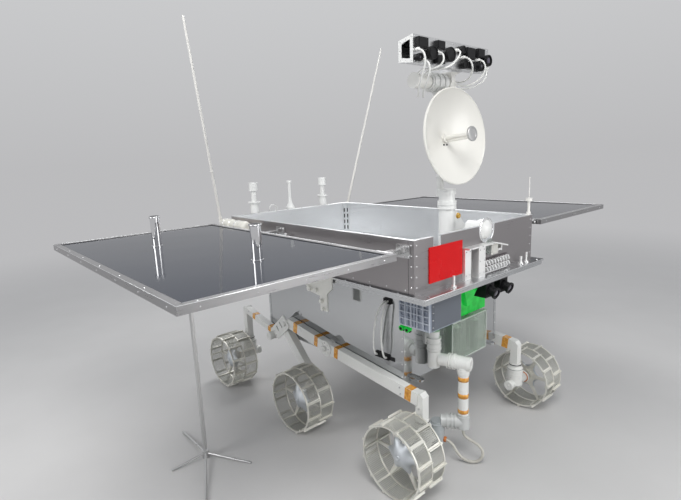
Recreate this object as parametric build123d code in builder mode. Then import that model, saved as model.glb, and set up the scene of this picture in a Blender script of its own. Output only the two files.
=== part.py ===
"""Six-wheeled lunar rover: a full-size exhibition model, at its real size.

X points to the front, Y to the left, Z up, with the origin on the floor below the middle of the body.
Millimetres. SIDES gives the sign of Y for each side, and RIGHT is the side with the robot arm.
"""
import os
from math import cos, radians, sin, tan

from build123d import *

os.makedirs("parts", exist_ok=True)

RIGHT = -1
LEFT = 1
SIDES = {"right": RIGHT, "left": LEFT}

# Body: a closed lower box, a ledge plate on it, and an open tray on the plate
BOX_FRONT, BOX_REAR, BOX_HALF = 545, -428, 344
BOX_BOTTOM, BOX_TOP = 354, 745
LEDGE_FRONT, LEDGE_REAR, LEDGE_HALF = 731, -684, 439
DECK = 771
TRAY_FRONT, TRAY_REAR, TRAY_HALF = 673, -626, 427
TRAY_TOP = 975
TRAY_WALL = 18

# Wheels, axles and steering
WHEEL_RADIUS = 150
WHEEL_WIDTH = 150
WHEEL_Y = 476
AXLE_HEIGHT = WHEEL_RADIUS
FRONT_X, MIDDLE_X, REAR_X = 650, 15, -650
AXLE_RADIUS = 8
RUNNING_GAP = 0.05

# Rocker and bogie on each side, in the narrow space between body and wheels
STRUT_Y = 360
STRUT_SIZE = 36
STRUT_FOOT = 252
STEER_PIN = 10
BEAM_Y = 366
BEAM_WIDTH, BEAM_HEIGHT = 36, 52
BEAM_REAR = (-210, 444)
ROCKER_PIVOT = (99, 397)
BOGIE_APEX = (-243, 402)
BOGIE_PIN = (-225, 438)
FRONT_KNEE = (FRONT_X, 338)
REAR_KNEE = (REAR_X, 424)
HOUSING_RADIUS = 37
HOUSING_BOTTOM = 150
MOTOR_RADIUS = 24
MOTOR_INNER = 300

# Wings: flat panels in a riveted angle frame, hinged beside the tray
WING_INNER, WING_OUTER = 518, 1292
WING_FRONT, WING_REAR = 672, -660
WING_TOP = 942
WING_FRAME = 24
HINGE_Y = 505
HINGE_Z = WING_TOP - WING_FRAME / 2
HINGE_PIN = 5
HINGE_X = (607, -168)

# Mast with dish and camera head
MAST_X = 502
POST_X = 465
DISH_Z = 1331
DISH_RADIUS = 198
HEAD_PIVOT_Z = 1560

# Robot arm
SHOULDER_X, SHOULDER_Y = 577, -190
LINK_Z = 430
LINK_LENGTH = 126
LINK_TURN = 18.4
ELBOW_Z = 172

# Display stand below the right wing
STAND_X, STAND_Y = -93, -936


BASE_ALIGN = (Align.CENTER, Align.CENTER, Align.MIN)


def add_box(low, high, mode=Mode.ADD):
    """Adds or cuts a box between two corners in the open part block."""
    size = [b - a for a, b in zip(low, high)]
    middle = [(a + b) / 2 for a, b in zip(low, high)]
    with Locations(tuple(middle)):
        Box(*size, mode=mode)


def rod(start, end, radius, mode=Mode.ADD):
    """A round rod or hole between two points in the open part block."""
    axis = Vector(*end) - Vector(*start)
    with Locations(Plane(origin=start, z_dir=axis)):
        Cylinder(radius, axis.length, align=BASE_ALIGN, mode=mode)


def steps(start, direction, table):
    """Round lengths one after another along a direction, from pairs of radius and length."""
    place = Vector(*start)
    heading = Vector(*direction).normalized()
    for radius, length in table:
        rod(place, place + heading * length, radius)
        place = place + heading * length


def write(block, label):
    """Labels a finished sub-part and writes it."""
    block.part.label = label
    export_step(block.part, "parts/" + label + ".step")


# Lower box: closed, with a lug at each bottom corner for the transport bolts
LUG_Y = 270
LUG_REACH = 42
LUG_RADIUS = 16
LUG_HOLE = 5
LUG_THICK = 8
LUG_X = {1: BOX_FRONT + LUG_REACH - LUG_RADIUS, -1: BOX_REAR - LUG_REACH + LUG_RADIUS}

with BuildPart() as lower_body:
    add_box((BOX_REAR, -BOX_HALF, BOX_BOTTOM), (BOX_FRONT, BOX_HALF, BOX_TOP))
    with BuildSketch(Plane.XY.offset(BOX_BOTTOM)):
        for end in (1, -1):
            for side in (RIGHT, LEFT):
                with Locations((LUG_X[end], side * LUG_Y)):
                    Circle(LUG_RADIUS)
                with Locations((LUG_X[end] - end * LUG_REACH / 2, side * LUG_Y)):
                    Rectangle(LUG_REACH, 2 * LUG_RADIUS)
    extrude(amount=LUG_THICK)
    for end in (1, -1):
        with Locations((LUG_X[end], LUG_Y, BOX_BOTTOM), (LUG_X[end], -LUG_Y, BOX_BOTTOM)):
            Hole(LUG_HOLE, depth=2 * LUG_THICK)
write(lower_body, "lower_body")

# Ledge: the deck plate of the tray on a lower frame, standing out all round
DECK_PLATE = 8
LEDGE_STEP = 6
with BuildPart() as ledge_frame:
    add_box((LEDGE_REAR, -LEDGE_HALF, DECK - DECK_PLATE), (LEDGE_FRONT, LEDGE_HALF, DECK))
    add_box(
        (LEDGE_REAR + LEDGE_STEP, -LEDGE_HALF + LEDGE_STEP, BOX_TOP),
        (LEDGE_FRONT - LEDGE_STEP, LEDGE_HALF - LEDGE_STEP, DECK - DECK_PLATE),
    )
write(ledge_frame, "ledge_frame")

# Side brackets below the ledge's edges: a gusset with a hanging block and its pins
BRACKET_SHEET = 8
BRACKET_OUTLINE = (
    (44, DECK),
    (236, DECK),
    (236, 722),
    (200, 690),
    (200, 612),
    (152, 612),
    (152, 676),
    (84, 684),
    (44, 716),
)
BRACKET_PINS = ((84, 700, 12), (166, 656, 9), (176, 622, 8), (130, 700, 9))
PIN_REACH = 12
with BuildPart() as side_brackets:
    for side in (RIGHT, LEFT):
        with BuildSketch(Plane.XZ.offset(-side * (LEDGE_HALF + BRACKET_SHEET / 2))):
            with BuildLine():
                Polyline(*BRACKET_OUTLINE, close=True)
            make_face()
        extrude(amount=BRACKET_SHEET / 2, both=True)
        for pin_x, pin_z, pin_radius in BRACKET_PINS:
            rod(
                (pin_x, side * (LEDGE_HALF + 1), pin_z),
                (pin_x, side * (LEDGE_HALF + BRACKET_SHEET + PIN_REACH), pin_z),
                pin_radius,
            )
write(side_brackets, "side_brackets")

# Tray floor: a plate inside the walls, behind the mast
FLOOR_LOW, FLOOR_HIGH = (-574, -376), (410, 376)
FLOOR_TOP = 774

with BuildPart() as tray_floor:
    add_box((*FLOOR_LOW, DECK), (*FLOOR_HIGH, FLOOR_TOP))
write(tray_floor, "tray_floor")

# Tray: sheet walls with a rim folded inwards, angles in the corners, a round notch and a slot in front
SHEET = 4
RIM_DEPTH = 6
ANGLE_SIZE, ANGLE_SHEET = 30, 3
NOTCH_Y, NOTCH_RADIUS, NOTCH_DEPTH = 41, 54, 75
SLOT_LOW, SLOT_HIGH, SLOT_BOTTOM = -317, -271, 930
TRAY_MIDDLE = (TRAY_FRONT + TRAY_REAR) / 2
TRAY_LENGTH = TRAY_FRONT - TRAY_REAR

with BuildPart() as tray:
    with BuildSketch(Plane.XY.offset(DECK)):
        with Locations((TRAY_MIDDLE, 0)):
            Rectangle(TRAY_LENGTH, 2 * TRAY_HALF)
            Rectangle(TRAY_LENGTH - 2 * SHEET, 2 * (TRAY_HALF - SHEET), mode=Mode.SUBTRACT)
    extrude(amount=TRAY_TOP - DECK)
    with BuildSketch(Plane.XY.offset(TRAY_TOP)):
        with Locations((TRAY_MIDDLE, 0)):
            Rectangle(TRAY_LENGTH, 2 * TRAY_HALF)
            Rectangle(TRAY_LENGTH - 2 * TRAY_WALL, 2 * (TRAY_HALF - TRAY_WALL), mode=Mode.SUBTRACT)
    extrude(amount=-RIM_DEPTH)
    for end, wall_x in ((1, TRAY_FRONT - SHEET), (-1, TRAY_REAR + SHEET)):
        for side in (RIGHT, LEFT):
            corner = (wall_x, side * (TRAY_HALF - SHEET))
            with BuildSketch(Plane.XY.offset(DECK)):
                with Locations(corner):
                    Rectangle(2 * ANGLE_SIZE, 2 * ANGLE_SHEET)
                    Rectangle(2 * ANGLE_SHEET, 2 * ANGLE_SIZE)
                with Locations((corner[0] + end * ANGLE_SIZE, corner[1])):
                    Rectangle(2 * ANGLE_SIZE, 4 * ANGLE_SIZE, mode=Mode.SUBTRACT)
                with Locations((corner[0], corner[1] + side * ANGLE_SIZE)):
                    Rectangle(4 * ANGLE_SIZE, 2 * ANGLE_SIZE, mode=Mode.SUBTRACT)
            extrude(amount=TRAY_TOP - DECK)
    with BuildSketch(Plane.YZ.offset(TRAY_FRONT + 1)):
        with Locations((NOTCH_Y, TRAY_TOP - NOTCH_DEPTH + NOTCH_RADIUS)):
            Circle(NOTCH_RADIUS)
        with Locations((NOTCH_Y, TRAY_TOP)):
            Rectangle(2 * NOTCH_RADIUS, 2 * (NOTCH_DEPTH - NOTCH_RADIUS))
    extrude(amount=-TRAY_WALL - 2, mode=Mode.SUBTRACT)
    add_box(
        (TRAY_FRONT - TRAY_WALL - 1, SLOT_LOW, SLOT_BOTTOM),
        (TRAY_FRONT + 1, SLOT_HIGH, TRAY_TOP + 1),
        Mode.SUBTRACT,
    )
write(tray, "tray")

# Notch lamp: a domed white housing with a bright half ring, looking out of the notch
LAMP_RADIUS = 42
LAMP_Z = TRAY_TOP - NOTCH_DEPTH + NOTCH_RADIUS + 1
LAMP_LENGTH = 86
LAMP_COLLAR = 30
LAMP_STEP = 8
LAMP_DOME = 14
LAMP_TIP = 5
LAMP_FOOT_X, LAMP_FOOT_RADIUS = TRAY_FRONT - 62, 16

with BuildPart() as notch_lamp:
    with BuildSketch(Plane.XY.offset(LAMP_Z)):
        with BuildLine():
            Polyline(
                (TRAY_FRONT - LAMP_LENGTH, NOTCH_Y),
                (TRAY_FRONT - LAMP_LENGTH, NOTCH_Y + LAMP_RADIUS - LAMP_STEP),
                (TRAY_FRONT - LAMP_COLLAR, NOTCH_Y + LAMP_RADIUS - LAMP_STEP),
                (TRAY_FRONT - LAMP_COLLAR, NOTCH_Y + LAMP_RADIUS),
                (TRAY_FRONT - 6, NOTCH_Y + LAMP_RADIUS),
            )
            ThreePointArc(
                (TRAY_FRONT - 6, NOTCH_Y + LAMP_RADIUS),
                (TRAY_FRONT + 8, NOTCH_Y + LAMP_RADIUS * 0.64),
                (TRAY_FRONT + LAMP_DOME, NOTCH_Y + LAMP_TIP),
            )
            Polyline(
                (TRAY_FRONT + LAMP_DOME, NOTCH_Y + LAMP_TIP),
                (TRAY_FRONT + LAMP_DOME, NOTCH_Y),
                (TRAY_FRONT - LAMP_LENGTH, NOTCH_Y),
            )
        make_face()
    revolve(axis=Axis((0, NOTCH_Y, LAMP_Z), (1, 0, 0)))
    rod((LAMP_FOOT_X, NOTCH_Y, DECK), (LAMP_FOOT_X, NOTCH_Y, LAMP_Z - LAMP_RADIUS + 20), LAMP_FOOT_RADIUS)
write(notch_lamp, "notch_lamp")

# Front plate: plain, on four short spacers' depth
PLATE_THICK = 4
PLATE_Y = (-345, -138)
PLATE_Z = (801, 937)

with BuildPart() as front_plate:
    add_box((TRAY_FRONT, PLATE_Y[0], PLATE_Z[0]), (TRAY_FRONT + PLATE_THICK, PLATE_Y[1], PLATE_Z[1]))
write(front_plate, "front_plate")

# Front fixtures: a channel frame with its cap, a block and tube below the cap, two rows of slanted louvres
# on a rail, and three pins on the ledge
CHANNEL_SHEET = 3
CHANNEL_HIGH = 903
LOUVRE_COUNT = 9
LOUVRE_PITCH = 22
LOUVRE_START = 8
LOUVRE_ROWS = (816, 790)
LOUVRE_SIZE, LOUVRE_SLANT, LOUVRE_REACH = (5, 20), 32, 12
CHANNELS = ((-134, -92, 14), (-62, -14, 30))
CAP_SHEET, CAP_DEPTH = 6, 34
CAP_LEFT, CAP_BEND, CAP_END = -134, 60, 156
RAIL_LOW, RAIL_HIGH = (TRAY_FRONT, 0, DECK), (TRAY_FRONT + 6, 200, 832)
LEDGE_PINS = ((702, 278, 34, 6), (702, 327, 46, 5), (704, -232, 44, 5))

with BuildPart() as front_fixtures:
    for low_y, high_y, depth in CHANNELS:
        with BuildSketch(Plane.XY.offset(DECK)):
            with Locations((TRAY_FRONT + depth / 2, (low_y + high_y) / 2)):
                Rectangle(depth, high_y - low_y)
            with Locations((TRAY_FRONT + depth / 2 - CHANNEL_SHEET, (low_y + high_y) / 2 + CHANNEL_SHEET)):
                Rectangle(depth, high_y - low_y, mode=Mode.SUBTRACT)
        extrude(amount=CHANNEL_HIGH - DECK)
    with BuildSketch(Plane.YZ.offset(TRAY_FRONT)):
        with BuildLine():
            Polyline(
                (CAP_LEFT, CHANNEL_HIGH),
                (CAP_BEND, CHANNEL_HIGH),
                (CAP_END, CHANNEL_HIGH - 4 * CAP_SHEET),
                (CAP_END, CHANNEL_HIGH - 5 * CAP_SHEET),
                (CAP_BEND, CHANNEL_HIGH - CAP_SHEET),
                (CAP_LEFT, CHANNEL_HIGH - CAP_SHEET),
                close=True,
            )
        make_face()
    extrude(amount=CAP_DEPTH)
    add_box((TRAY_FRONT, 36, 850), (TRAY_FRONT + 26, 88, CHANNEL_HIGH - CAP_SHEET))
    rod((TRAY_FRONT + 14, 88, 862), (TRAY_FRONT + 14, 132, 862), 6)
    add_box((TRAY_FRONT, 124, 856), (TRAY_FRONT + 20, 132, CHANNEL_HIGH - 16))
    add_box(RAIL_LOW, RAIL_HIGH)
    with BuildSketch(Plane.YZ.offset(TRAY_FRONT + 5)):
        for row in LOUVRE_ROWS:
            for n in range(LOUVRE_COUNT):
                with Locations((LOUVRE_START + 8 + n * LOUVRE_PITCH - (row - LOUVRE_ROWS[0]) / 4, row)):
                    Rectangle(*LOUVRE_SIZE, rotation=LOUVRE_SLANT)
    extrude(amount=LOUVRE_REACH)
    for pin_x, pin_y, pin_height, pin_radius in LEDGE_PINS:
        rod((pin_x, pin_y, DECK), (pin_x, pin_y, DECK + pin_height), pin_radius)
        rod((pin_x, pin_y, DECK), (pin_x, pin_y, DECK + 5), pin_radius + 6)
write(front_fixtures, "front_fixtures")

# Ribbed module below the ledge at the front right corner: a grid of ribs on its outer side
MODULE = ((549, -366, 622), (699, -176, 738))
RIB_DEPTH = 6
RIB_WIDTH = 4
UPRIGHT_RIBS = 5
LEVEL_RIBS = 4

with BuildPart() as ribbed_module:
    add_box(*MODULE)
    for n in range(UPRIGHT_RIBS):
        rib_x = MODULE[0][0] + n * (MODULE[1][0] - MODULE[0][0] - 2 * RIB_WIDTH) / (UPRIGHT_RIBS - 1)
        add_box(
            (rib_x, MODULE[0][1] - RIB_DEPTH, MODULE[0][2]),
            (rib_x + 2 * RIB_WIDTH, MODULE[0][1], MODULE[1][2]),
        )
    for n in range(LEVEL_RIBS):
        rib_z = MODULE[0][2] + n * (MODULE[1][2] - MODULE[0][2] - RIB_WIDTH) / (LEVEL_RIBS - 1)
        add_box(
            (MODULE[0][0], MODULE[0][1] - RIB_DEPTH + 1, rib_z),
            (MODULE[1][0], MODULE[0][1], rib_z + RIB_WIDTH),
        )
    add_box((MODULE[0][0], MODULE[0][1], MODULE[1][2]), (MODULE[1][0], MODULE[1][1], BOX_TOP))
    add_box((BOX_FRONT, MODULE[0][1] + 40, MODULE[0][2] + 30), (MODULE[0][0], MODULE[1][1], BOX_TOP))
write(ribbed_module, "ribbed_module")

# Hazard cameras under the ledge: two housings with hooded lens barrels
CAMERA_Y = (20, 128)
CAMERA_SIZE = (60, 62, 70)
LENS_TILT = 16
LENS_STEPS = ((24, 14), (20, 26), (25, 8))

with BuildPart() as hazard_cameras:
    for camera_y in CAMERA_Y:
        low = (647, camera_y - CAMERA_SIZE[1] / 2, BOX_TOP - CAMERA_SIZE[2])
        add_box(low, (low[0] + CAMERA_SIZE[0], low[1] + CAMERA_SIZE[1], BOX_TOP))
        lens_axis = Vector(cos(radians(LENS_TILT)), 0, -sin(radians(LENS_TILT)))
        lens_root = Vector(low[0] + CAMERA_SIZE[0] - 12, camera_y, BOX_TOP - 38)
        for lens_radius, lens_length in LENS_STEPS:
            rod(lens_root, lens_root + lens_axis * lens_length, lens_radius)
            lens_root = lens_root + lens_axis * (lens_length - 1)
        rod(lens_root - lens_axis * 5, lens_root + lens_axis * 2, 17, Mode.SUBTRACT)
write(hazard_cameras, "hazard_cameras")

# Green translucent light funnel, the shield behind it, and the small clips below the ribbed module
FUNNEL_X, FUNNEL_Y = 679, -105
SHIELD_Y = (-170, 200)
with BuildPart() as green_funnel:
    with BuildSketch(Plane.XY.offset(BOX_TOP)):
        with Locations((FUNNEL_X, FUNNEL_Y)):
            Rectangle(44, 104)
    with BuildSketch(Plane.XY.offset(BOX_TOP - 84)):
        with Locations((FUNNEL_X - 4, FUNNEL_Y)):
            Rectangle(20, 16)
    loft()
    add_box((567, SHIELD_Y[0], 560), (573, SHIELD_Y[1], 640))
    add_box((BOX_FRONT, SHIELD_Y[0], 634), (573, SHIELD_Y[1], 640))
    for clip_x in (556, 586):
        rod((clip_x, -360, 600), (clip_x, -360, 622), 9)
        rod((clip_x, -352, 608), (clip_x, -372, 606), 11)
write(green_funnel, "green_funnel")

# Clear instrument case on the front of the lower box: an open-backed shell with a lens ring
CASE_Y = (-85, 185)
CASE_Z = (372, 556)
CASE_DEPTH = 47
CASE_WALL = 4
with BuildPart() as clear_case:
    add_box((BOX_FRONT, CASE_Y[0], CASE_Z[0]), (BOX_FRONT + CASE_DEPTH, CASE_Y[1], CASE_Z[1]))
    add_box(
        (BOX_FRONT - 1, CASE_Y[0] + CASE_WALL, CASE_Z[0] + CASE_WALL),
        (BOX_FRONT + CASE_DEPTH - CASE_WALL, CASE_Y[1] - CASE_WALL, CASE_Z[1] - CASE_WALL),
        Mode.SUBTRACT,
    )
    for tab_y in CASE_Y:
        low_y, high_y = sorted((tab_y, tab_y + (14 if tab_y > 0 else -14)))
        add_box((BOX_FRONT, low_y, CASE_Z[0]), (BOX_FRONT + CASE_WALL, high_y, CASE_Z[0] + 30))
write(clear_case, "clear_case")

# What shows through the clear case: two round tanks and a board, all on its floor
TANK_Y, TANK_RADIUS = (-20, 120), 17
with BuildPart() as case_contents:
    for tank_y in TANK_Y:
        tank = (BOX_FRONT + TANK_RADIUS + 3, tank_y)
        rod((*tank, CASE_Z[0] + CASE_WALL), (*tank, CASE_Z[1] - 40), TANK_RADIUS)
    add_box((BOX_FRONT, 30, CASE_Z[0] + CASE_WALL), (BOX_FRONT + 12, 76, CASE_Z[1] - 30))
write(case_contents, "case_contents")

# Rockers: a beam from the bogie over the body's pivot to the front knee, and the strut below the knee
SPACER_RADIUS = 30
FLANGE_RADIUS, FLANGE_DEPTH = 38, 7
FLANGE_BOLTS = 4
KNEE_CUT = 14
PIN_RADIUS, PIN_DEPTH = 13, 14

for name, side in SIDES.items():
    with BuildPart() as rocker:
        with BuildSketch(Plane.XZ.offset(-side * BEAM_Y)):
            with BuildLine():
                Polyline(BEAM_REAR, ROCKER_PIVOT, (FRONT_X - 6, FRONT_KNEE[1]))
            trace(line_width=BEAM_HEIGHT)
        extrude(amount=BEAM_WIDTH / 2, both=True)
        with BuildSketch(Plane.XZ.offset(-side * STRUT_Y)):
            with BuildLine():
                Polyline(
                    (FRONT_X - STRUT_SIZE / 2, STRUT_FOOT),
                    (FRONT_X + STRUT_SIZE / 2, STRUT_FOOT),
                    (FRONT_X + STRUT_SIZE / 2, FRONT_KNEE[1] + BEAM_HEIGHT / 2 - KNEE_CUT),
                    (FRONT_X + STRUT_SIZE / 2 - KNEE_CUT, FRONT_KNEE[1] + BEAM_HEIGHT / 2),
                    (FRONT_X - STRUT_SIZE / 2, FRONT_KNEE[1] + BEAM_HEIGHT / 2),
                    close=True,
                )
            make_face()
        extrude(amount=STRUT_SIZE / 2, both=True)
        pivot = Vector(ROCKER_PIVOT[0], side * BOX_HALF, ROCKER_PIVOT[1])
        rod(pivot, (pivot.X, side * BEAM_Y, pivot.Z), SPACER_RADIUS)
        plate_y = side * (BEAM_Y + BEAM_WIDTH / 2)
        rod(
            (pivot.X, side * BEAM_Y, pivot.Z),
            (pivot.X, plate_y + side * FLANGE_DEPTH, pivot.Z),
            FLANGE_RADIUS,
        )
        rod((pivot.X, plate_y, pivot.Z), (pivot.X, plate_y + side * PIN_DEPTH, pivot.Z), PIN_RADIUS)
        with Locations(Plane(origin=(pivot.X, plate_y, pivot.Z), x_dir=(1, 0, 0), z_dir=(0, side, 0))):
            with PolarLocations(FLANGE_RADIUS - 11, FLANGE_BOLTS, start_angle=45):
                Cylinder(5, FLANGE_DEPTH + 4, align=BASE_ALIGN)
        rod((FRONT_X, side * STRUT_Y, STRUT_FOOT - 16), (FRONT_X, side * STRUT_Y, STRUT_FOOT), STEER_PIN)
    write(rocker, "rocker_" + name)

# Bogies: a clevis plate at the rocker's end, an arm to the rear knee with its strut, an arm to the middle wheel
CLEVIS_MIDDLE, CLEVIS_TURN = (-266, 408), 40
CLEVIS_LENGTH, CLEVIS_WIDTH, CLEVIS_DEPTH = 150, 74, 8
REAR_ARM, MIDDLE_ARM = 30, 42
CLEVIS_SLOTS = ((-292, 396), (-262, 424))
KNOB_X, KNOB_Z = -345, 346
REAR_BEND = (-332, 357)
MIDDLE_AXLE = ((27, 348, 386), (MOTOR_RADIUS, 386, WHEEL_Y - 22), (MOTOR_RADIUS - 3, 318, 348))

for name, side in SIDES.items():
    with BuildPart() as bogie:
        with BuildSketch(Plane.XZ.offset(-side * BEAM_Y)):
            with BuildLine():
                Polyline((REAR_X + 6, REAR_KNEE[1]), REAR_BEND, BOGIE_APEX)
            trace(line_width=REAR_ARM)
            with BuildLine():
                Line(BOGIE_APEX, (MIDDLE_X, AXLE_HEIGHT))
            trace(line_width=MIDDLE_ARM)
        extrude(amount=BEAM_WIDTH / 2, both=True)
        with BuildSketch(Plane.XZ.offset(-side * STRUT_Y)):
            with BuildLine():
                Polyline(
                    (REAR_X - STRUT_SIZE / 2, STRUT_FOOT),
                    (REAR_X + STRUT_SIZE / 2, STRUT_FOOT),
                    (REAR_X + STRUT_SIZE / 2, REAR_KNEE[1] + REAR_ARM / 2),
                    (REAR_X - STRUT_SIZE / 2 + KNEE_CUT, REAR_KNEE[1] + REAR_ARM / 2),
                    (REAR_X - STRUT_SIZE / 2, REAR_KNEE[1] + REAR_ARM / 2 - KNEE_CUT),
                    close=True,
                )
            make_face()
        extrude(amount=STRUT_SIZE / 2, both=True)
        with BuildSketch(Plane.XZ.offset(-side * (BEAM_Y + BEAM_WIDTH / 2 + CLEVIS_DEPTH / 2))):
            with Locations(CLEVIS_MIDDLE):
                RectangleRounded(CLEVIS_LENGTH, CLEVIS_WIDTH, 14, rotation=CLEVIS_TURN)
            with Locations(*CLEVIS_SLOTS):
                SlotOverall(36, 12, rotation=CLEVIS_TURN + 90, mode=Mode.SUBTRACT)
        extrude(amount=CLEVIS_DEPTH / 2, both=True)
        outer_y = side * (BEAM_Y + BEAM_WIDTH / 2)
        rod(
            (BOGIE_PIN[0], outer_y, BOGIE_PIN[1]),
            (BOGIE_PIN[0], outer_y + side * PIN_DEPTH, BOGIE_PIN[1]),
            PIN_RADIUS,
        )
        rod((KNOB_X, side * BEAM_Y, KNOB_Z), (KNOB_X, outer_y + side * 30, KNOB_Z), 22)
        rod((REAR_X, side * STRUT_Y, STRUT_FOOT - 16), (REAR_X, side * STRUT_Y, STRUT_FOOT), STEER_PIN)
        for radius, low, high in MIDDLE_AXLE:
            rod((MIDDLE_X, side * low, AXLE_HEIGHT), (MIDDLE_X, side * high, AXLE_HEIGHT), radius)
        rod(
            (MIDDLE_X, side * (WHEEL_Y - 24), AXLE_HEIGHT),
            (MIDDLE_X, side * (WHEEL_Y + 20), AXLE_HEIGHT),
            AXLE_RADIUS,
        )
    write(bogie, "bogie_" + name)

# Steering housings: they turn on the strut's pin and carry the wheel's motor
CORNERS = {
    "front_right": (FRONT_X, RIGHT),
    "front_left": (FRONT_X, LEFT),
    "rear_right": (REAR_X, RIGHT),
    "rear_left": (REAR_X, LEFT),
}
PIN_BORE = STEER_PIN + RUNNING_GAP
for name, (wheel_x, side) in CORNERS.items():
    with BuildPart() as housing:
        with BuildSketch(Plane.XZ.offset(-side * STRUT_Y)):
            with BuildLine():
                Polyline(
                    (wheel_x, HOUSING_BOTTOM - 14),
                    (wheel_x + HOUSING_RADIUS - 8, HOUSING_BOTTOM - 14),
                    (wheel_x + HOUSING_RADIUS, HOUSING_BOTTOM - 6),
                    (wheel_x + HOUSING_RADIUS, STRUT_FOOT - 26),
                    (wheel_x + HOUSING_RADIUS - 9, STRUT_FOOT - 18),
                    (wheel_x + HOUSING_RADIUS - 9, STRUT_FOOT - 1),
                    (wheel_x + PIN_BORE, STRUT_FOOT - 1),
                    (wheel_x + PIN_BORE, STRUT_FOOT - 20),
                    (wheel_x, STRUT_FOOT - 20),
                    close=True,
                )
            make_face()
        revolve(axis=Axis((wheel_x, side * STRUT_Y, 0), (0, 0, 1)))
        for radius, low, high in (
            (MOTOR_RADIUS, STRUT_Y, WHEEL_Y - 22),
            (MOTOR_RADIUS - 3, MOTOR_INNER + 8, STRUT_Y),
            (MOTOR_RADIUS, MOTOR_INNER, MOTOR_INNER + 8),
            (AXLE_RADIUS, WHEEL_Y - 30, WHEEL_Y + 20),
        ):
            rod((wheel_x, side * low, AXLE_HEIGHT), (wheel_x, side * high, AXLE_HEIGHT), radius)
    write(housing, "steer_housing_" + name)

# Wheels: three hoops joined by square bars, staggered blades, flared spokes and a domed hub
HOOP_RADIUS = 142
HOOP_SECTION = 6
BLADE_COUNT = 12
BLADE_THICK, BLADE_DEPTH = 3, 9
SPOKE_COUNT = 6
SPOKE_THICK = 7
HUB_RADIUS = 46
SPOKE_END = HOOP_RADIUS - 4
SPOKE = ((20, -26), (58, -9), (SPOKE_END, -5), (SPOKE_END, 5), (58, 9), (20, 26))
BAR_SIZE = 7
HUB_BORE = AXLE_RADIUS + RUNNING_GAP
HUB_BACK = ((HUB_BORE, -16), (30, -16), (30, -6), (HUB_RADIUS, -6), (HUB_RADIUS, 6))
HUB_DOME = ((HUB_RADIUS, 6), (30, 22), (6, 30))
HUB_INSIDE = ((6, 30), (0, 30), (0, 22), (HUB_BORE, 22), (HUB_BORE, -16))
WHEELS = {"middle_right": (MIDDLE_X, RIGHT), "middle_left": (MIDDLE_X, LEFT), **CORNERS}

for name, (wheel_x, side) in WHEELS.items():
    centre = Plane(origin=(wheel_x, side * WHEEL_Y, AXLE_HEIGHT), x_dir=(1, 0, 0), z_dir=(0, side, 0))
    half = WHEEL_WIDTH / 2
    with BuildPart() as wheel:
        for hoop in (-half, -HOOP_SECTION / 2, half - HOOP_SECTION):
            with BuildSketch(centre.offset(hoop)):
                Circle(HOOP_RADIUS)
                Circle(HOOP_RADIUS - HOOP_SECTION, mode=Mode.SUBTRACT)
            extrude(amount=HOOP_SECTION)
        with BuildSketch(centre.offset(-half)):
            with PolarLocations(HOOP_RADIUS - HOOP_SECTION - 2, SPOKE_COUNT):
                Rectangle(BAR_SIZE, BAR_SIZE)
        extrude(amount=WHEEL_WIDTH)
        for start, turn in ((-half, 0), (0, 180 / BLADE_COUNT)):
            with BuildSketch(centre.offset(start)):
                with PolarLocations(WHEEL_RADIUS - BLADE_DEPTH / 2, BLADE_COUNT, start_angle=turn):
                    Rectangle(BLADE_DEPTH, BLADE_THICK)
            extrude(amount=half)
        with BuildSketch(centre.offset(-SPOKE_THICK / 2)):
            with PolarLocations(0, SPOKE_COUNT):
                with BuildLine():
                    Polyline(*SPOKE, close=True)
                make_face()
        extrude(amount=SPOKE_THICK)
        with BuildSketch(Plane.XY.offset(AXLE_HEIGHT)):
            with BuildLine():
                Polyline(*[(wheel_x + r, side * (WHEEL_Y + w)) for r, w in HUB_BACK])
                ThreePointArc(*[(wheel_x + r, side * (WHEEL_Y + w)) for r, w in HUB_DOME])
                Polyline(*[(wheel_x + r, side * (WHEEL_Y + w)) for r, w in HUB_INSIDE])
            make_face()
        revolve(axis=Axis((wheel_x, 0, AXLE_HEIGHT), (0, 1, 0)))
    write(wheel, "wheel_" + name)

# Wings: an angle frame with hinge knuckles beside the body's pins, and the dark panel below its lip
KNUCKLE_RADIUS = 11
KNUCKLE_LENGTH = 22
KNUCKLE_GAP = 17
FRAME_SHEET = 3
PANEL_THICK = 12
PANEL_TOP = WING_TOP - FRAME_SHEET
WING_X = (WING_FRONT + WING_REAR) / 2
WING_Y = (WING_INNER + WING_OUTER) / 2
WING_SIZE = (WING_FRONT - WING_REAR, WING_OUTER - WING_INNER)

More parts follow.
